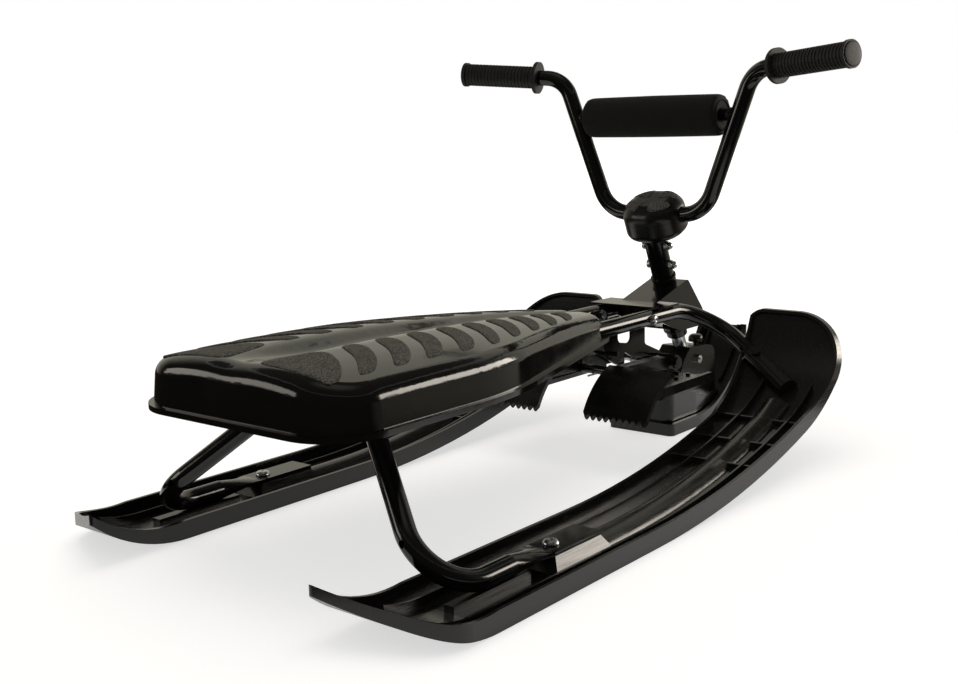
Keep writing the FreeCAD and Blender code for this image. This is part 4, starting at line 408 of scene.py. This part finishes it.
# %% Stitched hems
HEM_R, HEM_ZONE, HEM_THICK, STITCHES = 20 * MM, 4 * MM, 1.1 * MM, 44
RIPPLE = 0.18                                    # share by which a stitch swells the roll


def hem(middle, radius, thick, stitches, points=240):
    """A ring: a small circle carried round a large one, its size rippling once for each stitch."""
    along = np.linspace(0, 2 * np.pi, points, endpoint=False)[:, None]
    round_ = np.linspace(0, 2 * np.pi, 10, endpoint=False)[None]
    size = thick * (1 + RIPPLE * np.cos(stitches * along))
    distance = radius + size * np.cos(round_)
    return np.stack([middle[0] + size * np.sin(round_), middle[1] + distance * np.cos(along),
                     middle[2] + distance * np.sin(along)], -1)


points = points_of(bar_pad.data)
ring_zone = np.abs(off_axis(points) - HEM_R) < HEM_ZONE
ends = [points[ring_zone, 0].max(), points[ring_zone, 0].min()]
hems = [hem((end, *PAD_MID[1:]), HEM_R, HEM_THICK, STITCHES) for end in ends]
skin("bar_pad_hems", hems, woven_nylon, "steering", loop=True)
print("pad ends at", np.round(np.array(ends) / MM, 1).tolist(), "mm")

# %% [markdown]
# ## Grip patches on the seat
# Two lanes of raised patches lie on the seat, one for each thigh: a long one behind and nine curved ones
# in front of it. The seat's top is known as a formula in the CAD source, so the same formula here lays
# the patches on it. Each patch is a rounded square, bent by its front and rear edge.

# %% The seat's top as a formula
SEAT = {"rear": -476, "waist": -222, "nose": 116, "half": 152, "nose_half": 46}
CREST = {"rear": 222, "waist": 222, "nose": 195}     # height of the two lanes
LANE_X, TROUGH, TROUGH_RUN, LANE_FALL = 36, 9, 110, 16.5
TAPER_END = 1.2                                      # the taper goes on a little past the nose


def seat_half(y):
    """Half width of the seat: full behind the waist, then a straight taper to the nose."""
    share = np.clip((y - SEAT["waist"]) / (SEAT["nose"] - SEAT["waist"]), 0, TAPER_END)
    return SEAT["half"] + (SEAT["nose_half"] - SEAT["half"]) * share


def seat_top(x, y):
    """Height in mm: a parabola through three heights along the seat, less a cosine-squared trough in the
    middle, which deepens from the rear, or a parabola's fall outside a lane's crest."""
    rear, waist, nose = SEAT["rear"], SEAT["waist"], SEAT["nose"]
    base = ((y - waist) * (y - nose) / ((rear - waist) * (rear - nose)) * CREST["rear"]
            + (y - rear) * (y - nose) / ((waist - rear) * (waist - nose)) * CREST["waist"]
            + (y - rear) * (y - waist) / ((nose - rear) * (nose - waist)) * CREST["nose"])
    half, crest = seat_half(y), LANE_X / SEAT["half"]
    share = np.abs(x) / half
    depth = TROUGH * np.sin(np.pi / 2 * np.clip((y - rear) / TROUGH_RUN, 0, 1)) ** 2
    trough = depth * np.cos(np.pi / 2 * np.minimum(share / crest, 1)) ** 2
    fall = LANE_FALL * (np.maximum(share - crest, 0) / (1 - crest)) ** 2
    return base - (trough + fall) * half / SEAT["half"]


print("seat top at the waist:", round(float(seat_top(0.0, SEAT["waist"])), 1), "mm")

# %% Lay out the patches
FIRST, PITCH, COUNT, BAND, BOW = -382, 47.7, 9, 27.0, 11.0
LANE_IN, LANE_OUT, SHOULDER, SWEEP = 0.25, 0.8, 19.0, 0.69
REAR_EDGE, REAR_IN = -456.0, 0.1                 # the long patch: its rear edge, its extra width there
LONG_CORNER, CORNER = 0.3, 0.5                   # exponents: the long patch has sharper corners
ring = np.linspace(0, 2 * np.pi, 64, endpoint=False)
share = np.array([0, 0.35, 0.7, 0.9, 0.97, 1.0, 1.0, 0.6, 0])          # from the middle of the top
lift = np.array([1.2, 1.2, 1.2, 1.2, 1.0, 0.3, -1.5, -1.5, -1.5])       # out, over the edge and under
square = np.where(np.arange(COUNT + 1) == 0, LONG_CORNER, CORNER)[:, None, None]


def squarish(value):
    """A circle's cosine or sine pushed towards a square, one exponent for each patch."""
    return np.sign(value) * np.abs(value) ** square


across = (1 + share[:, None] * squarish(np.cos(ring))) / 2               # 0 at the inner end, 1 outside
forward = (1 + share[:, None] * squarish(np.sin(ring))) / 2              # 0 at the rear edge, 1 in front
first = (FIRST + PITCH * np.arange(COUNT + 1))[:, None, None]            # inner end of each front edge
swept = SWEEP * (LANE_OUT - LANE_IN) * seat_half(first)
front = first - swept * across + 4 * BOW * across * (1 - across)
rear = front - BAND
rear[0] = REAR_EDGE
y = rear + (front - rear) * forward
half = seat_half(y)
inner = np.full_like(y, LANE_IN)
inner[0] -= REAR_IN * (1 - forward[0])
inner = inner * half
x = inner + (np.minimum(LANE_OUT * half, half - SHOULDER) - inner) * across
z = seat_top(x, y) + lift[None, :, None]
right_lane = np.stack([x, y, z], -1) * MM
skin("seat_grip_patches", np.concatenate([right_lane, right_lane * SIDES[0]]), grit_rubber, "sled")

# %% [markdown]
# ## Patches on the console
# The console's lid carries four leaf-shaped patches with smooth bars between them. The lid is a rounded
# box whose top edge is filleted, so its height at any point follows from the distance to its outline.

# %% Console patches
LEAN = math.radians(24)                          # the steering axis leans back by this angle
BAR_Y, BAR_Z = 308.0, 309.0                      # middle of the bar inside the console
LID_MID, LID_HALF = np.array([0.0, BAR_Y - 2]), np.array([44, 40])
LID_TOP, LID_CORNER, LID_DOME = BAR_Z + 24, 38, 20
LEAF_IN, LEAF_LONG, LEAF_STRETCH, LEAF_LIFT = 9, 25, 1.12, 0.6   # start, length, stretch in x, share of lift
LEAF_SPREAD, LEAF_ROOT, LEAF_WIDEN = np.radians(34), 0.55, 0.45  # half angle, its share inside, the rest


def lid_height(x, y):
    """Top of the lid: level, then a quarter circle down where the outline is nearer than the fillet."""
    past = np.maximum(np.abs(np.stack([x, y], -1) - LID_MID) - (LID_HALF - LID_CORNER), 0)
    inside = np.clip(LID_CORNER - np.linalg.norm(past, axis=-1), 0, LID_DOME)
    return LID_TOP - LID_DOME + np.sqrt(LID_DOME ** 2 - (LID_DOME - inside) ** 2)


def leaning(x, y, z):
    """Upright points turned back by the lean, about the line through the bar's middle along x."""
    ahead, above = y - BAR_Y, z - BAR_Z
    return np.stack([x, BAR_Y + ahead * math.cos(LEAN) - above * math.sin(LEAN),
                     BAR_Z + ahead * math.sin(LEAN) + above * math.cos(LEAN)], -1)


heading = np.radians([45, 135, 225, 315])[:, None, None]
out, ahead = across[1:2], forward[1:2]           # the outline of a short seat patch serves for a leaf
reach = LEAF_IN + LEAF_LONG * out
turn = heading + LEAF_SPREAD * (2 * ahead - 1) * (LEAF_ROOT + LEAF_WIDEN * out)
x = LID_MID[0] + LEAF_STRETCH * reach * np.cos(turn)
y = LID_MID[1] + reach * np.sin(turn)
z = lid_height(x, y) + LEAF_LIFT * lift[None, :, None]
skin("console_patches", leaning(x, y, z) * MM, grit_rubber, "steering")

# %% [markdown]
# ## Caps, screw heads and welds
# Small round things finish the sled: domed caps on the column's nuts, pan heads on the screws, discs in
# the ends of the grips and weld beads where the crossbar meets the bar. All are profiles turned about an
# axis, except the bead, which is a rippled ring.

# %% Caps and heads
AXIS_FOOT = 427                                  # y in mm at which the steering axis meets the ground
NUT_HEIGHTS, NUT_SIDE = (258, 289), 20.9         # mm along the axis, and to the right of it
SKI_SCREW, HANGER_BOLT = np.array([216.5, -250, 24.5]) * MM, np.array([58, 211, 175]) * MM
CAP = [(0, -2), (5.6, -2), (5.6, 1.2), (5.2, 2.6), (4.2, 4.4), (2.4, 5.6), (0, 6)]
PAN = [(0, -1), (6.2, -1), (6.5, 0), (6.3, 0.8), (5.2, 1.9), (3.2, 2.6), (2.2, 2.7), (1.6, 1.6), (0, 1.4)]
WIDE = [(0, 0.3), (8.6, 0.3), (8.8, 1.0), (8.4, 2.2), (7.1, 4.2), (4.8, 4.9), (2.4, 5.0), (1.5, 4.4),
        (0, 4.3)]


def on_axis(height, side):
    """A point of the steering axis, in metres, at a height in mm along it and side mm to the right."""
    return (side * MM, (AXIS_FOOT - height * math.sin(LEAN)) * MM, height * math.cos(LEAN) * MM)


caps = [turned(CAP, on_axis(height, NUT_SIDE), RIGHT) for height in NUT_HEIGHTS]
skin("stem_nut_caps", caps, zinc_plate, "steering")
heads = [turned(WIDE, SKI_SCREW * flip, UP) for flip in SIDES]
heads += [turned(PAN, HANGER_BOLT * flip, RIGHT * flip) for flip in SIDES]
skin("pan_heads", heads, zinc_plate, "sled")

# %% Grip ends and welds
DISC = [(0, -1), (14.5, -1), (15.5, 0.0), (15.2, 0.7), (13.8, 1.0), (9, 1.3), (0, 1.5)]
BAR_END, ELBOW = np.array([299, 261, 512.5]), np.array([151, 303, 501])     # in mm: its end, its last bend
GRIP_PAST = 4                                    # mm from the bar's end to the grip's end
outward = (BAR_END - ELBOW) / np.linalg.norm(BAR_END - ELBOW)
tip = (BAR_END + GRIP_PAST * outward) * MM
discs = [turned(DISC, tip * flip, outward * flip, 56) for flip in SIDES]
skin("grip_end_discs", discs, soft_rubber, "steering")

WELD_IN, WELD_R, WELD_THICK, WELD_WAVES = 3.5 * MM, 8.4 * MM, 1.5 * MM, 14
weld = np.array([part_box("crossbar")[1][0] - WELD_IN, *PAD_MID[1:]])
beads = [hem(weld * flip, WELD_R, WELD_THICK, WELD_WAVES, 112) for flip in SIDES]
skin("crossbar_welds", beads, powder_coat, "steering", loop=True)

# %% [markdown]
# ## Studio
# The sled stands on a white sweep. Black gloss shows what it mirrors rather than its own colour, so a
# product studio hangs cards round it. Here a floor card, a wall card and a ceiling card close the sled in.
# Floor and wall are dark on the camera's side, which keeps the sled's sides black, and paler beyond it,
# which greys the seat's top; the ceiling is palest in its middle. Two soft boxes draw the bright lines.
# Cards and boxes are seen in reflections only. Inside the floor card's ring a reflection finds the floor
# itself, which glows less there than for the camera. The world is white to look at and dimmer as a lamp.

# %% Floor and world
FLOOR, FLOOR_Z = 20.0, -0.0005                   # half width, and a hair below the soles
FLOOR_IN_GLOSS = 0.6                             # share of the floor's glow that a reflection sees
WORLD_LAMP = 0.5                                 # strength with which the world lights the sled


def stage_mesh(name, corners, faces, finish):
    """A sheet of the studio from its corners, in metres, and its faces."""
    mesh = bpy.data.meshes.new(name)
    mesh.from_pydata(np.asarray(corners, float).tolist(), [], faces)
    mesh.materials.append(finish)
    piece = bpy.data.objects.new(name, mesh)
    bpy.context.collection.objects.link(piece)
    return piece


sweep, tree, shader, place = new_finish("matt_paper", "#c6c5c3", 0.9)
path = add(tree, "LightPath")
away = add(tree, "VectorMath", {0: place}, operation="LENGTH")
white = add(tree, "MapRange", {"Value": away.outputs["Value"], "From Min": 0.9, "From Max": 2.4,
                               "To Min": 0.62, "To Max": 1.0}, interpolation_type="SMOOTHSTEP")
bright = add(tree, "Math", {0: path.outputs["Is Glossy Ray"], 1: FLOOR_IN_GLOSS}, operation="MULTIPLY")
bright = add(tree, "Math", {0: path.outputs["Is Camera Ray"], 1: bright.outputs[0]}, operation="MAXIMUM")
glow = add(tree, "Math", {0: bright.outputs[0], 1: white.outputs[0]}, operation="MULTIPLY")
shader.inputs["Emission Color"].default_value = (1, 1, 1, 1)
wire(tree, shader, {"Emission Strength": glow.outputs[0]})
corners = [(-FLOOR, -FLOOR, FLOOR_Z), (FLOOR, -FLOOR, FLOOR_Z), (FLOOR, FLOOR, FLOOR_Z),
           (-FLOOR, FLOOR, FLOOR_Z)]
stage_mesh("floor", corners, [(0, 1, 2, 3)], sweep)

world = bpy.data.worlds.new("studio")
bpy.context.scene.world = world
world.use_nodes = True
tree = world.node_tree
tree.nodes.clear()
path = add(tree, "LightPath")
seen = add(tree, "Math", {0: path.outputs["Is Camera Ray"], 1: path.outputs["Is Glossy Ray"]},
           operation="MAXIMUM")
seen = add(tree, "Math", {0: seen.outputs[0], 1: path.outputs["Is Transmission Ray"]}, operation="MAXIMUM")
strength = add(tree, "MapRange", {"Value": seen.outputs[0], "To Min": WORLD_LAMP, "To Max": 1.0})
sky = add(tree, "Background", {"Color": (1, 1, 1, 1), "Strength": strength.outputs[0]})
add(tree, "OutputWorld", {"Surface": sky.outputs[0]})
print("floor and world made")

# %% Cards
CARD_TINT = "#fffae6"                            # warm off-white board
CARD_INNER, CARD_OUTER, CARD_HIGH, CEILING = 0.66, 3.4, 2.9, 3.0
CARD_SIDES, CARD_LIFT = 48, 0.003                # corners of the ring; height of the floor card
BACK = (-0.634, 0.773, 0.0)                      # level direction from the camera past the sled


def card(name, corners, faces, axis, near, far):
    """A card seen in reflections only. Its tone goes from near[1] to far[1] as the place along axis, in
    metres, goes from near[0] to far[0]; axis (0, 0, 0) takes the distance from the middle instead."""
    material = bpy.data.materials.new(name)
    material.use_nodes = True
    tree = material.node_tree
    tree.nodes.clear()
    place = add(tree, "TexCoord").outputs["Object"]
    if any(axis):
        along = add(tree, "VectorMath", {0: place, 1: axis}, operation="DOT_PRODUCT")
    else:
        level = add(tree, "VectorMath", {0: place, 1: (1, 1, 0)}, operation="MULTIPLY")
        along = add(tree, "VectorMath", {0: level.outputs[0]}, operation="LENGTH")
    tone = add(tree, "MapRange", {"Value": along.outputs["Value"], "From Min": near[0], "From Max": far[0],
                                  "To Min": near[1], "To Max": far[1]}, interpolation_type="SMOOTHSTEP")
    glow = add(tree, "Emission", {"Color": linear(CARD_TINT), "Strength": tone.outputs[0]})
    add(tree, "OutputMaterial", {"Surface": glow.outputs[0]})
    piece = stage_mesh(name, corners, faces, material)
    piece.visible_camera = piece.visible_diffuse = piece.visible_shadow = False
    piece.visible_transmission = piece.visible_volume_scatter = False


angle = np.linspace(0, 2 * np.pi, CARD_SIDES, endpoint=False)
circle = np.stack([np.cos(angle), np.sin(angle), 0 * angle], 1)
strip = [(i, (i + 1) % CARD_SIDES, CARD_SIDES + (i + 1) % CARD_SIDES, CARD_SIDES + i)
         for i in range(CARD_SIDES)]
card("floor_card", np.concatenate([circle * CARD_INNER, circle * CARD_OUTER]) + CARD_LIFT * UP, strip,
     axis=(0, 1, 0), near=(0.3, 0.02), far=(1.3, 0.34))
card("wall_card", np.concatenate([circle * CARD_OUTER, circle * CARD_OUTER + CARD_HIGH * UP]), strip,
     axis=BACK, near=(0.7, 0.04), far=(2.6, 0.58))
card("ceiling_card", circle * CARD_OUTER + CEILING * UP, [tuple(range(CARD_SIDES))],
     axis=(0, 0, 0), near=(0.3, 0.4), far=(1.5, 0.06))
print("three cards")

# %% Lamps
LAMP_TINT = "#fff6ea"


def panel(name, place, aim, size, power, mirrored):
    """A soft rectangular lamp at place, turned to face aim, with its power in watts. A mirrored lamp is
    seen in gloss only and lights nothing else; the other kind only lights."""
    lamp = bpy.data.lights.new(name, "AREA")
    lamp.shape, lamp.size, lamp.size_y, lamp.energy = "RECTANGLE", size[0], size[1], power
    lamp.color = linear(LAMP_TINT)[:3]
    holder = bpy.data.objects.new(name, lamp)
    holder.location = place
    holder.rotation_euler = (Vector(aim) - Vector(place)).to_track_quat("-Z", "Y").to_euler()
    holder.visible_camera, holder.visible_glossy, holder.visible_diffuse = False, mirrored, not mirrored
    bpy.context.collection.objects.link(holder)


panel("top_panel", (-0.4, 0.3, 2.8), aim=(0, 0, 0.2), size=(2.6, 2.6), power=30, mirrored=False)
panel("right_box", (1.55, 1.98, 0.75), aim=(0, -0.1, 0.2), size=(1.7, 0.7), power=34, mirrored=True)
panel("left_box", (-1.9, -2.1, 0.75), aim=(0, -0.4, 0.2), size=(1.3, 0.7), power=8, mirrored=True)
print("three soft lamps")

# %% [markdown]
# ## Camera
# The camera looks from where the photograph was taken. Its place, its three axes and the focal length
# were solved from points of the sled, so they are plain numbers here.

# %% Camera
lens = bpy.data.cameras.new("camera")
lens.lens, lens.sensor_width, lens.sensor_fit = 46.44, 36, "HORIZONTAL"
camera = bpy.data.objects.new("camera", lens)
right, up, back = (0.77563, 0.63076, -0.02307), (-0.09289, 0.15022, 0.98428), (0.62431, -0.76129, 0.17511)
turn = Matrix((right, up, back)).transposed()
camera.matrix_world = Matrix.Translation((0.91477, -1.20756, 0.44188)) @ turn.to_4x4()
bpy.context.collection.objects.link(camera)
bpy.context.scene.camera = camera
bpy.context.scene.view_settings.view_transform = "Standard"
print("camera at", [round(value, 3) for value in camera.location])
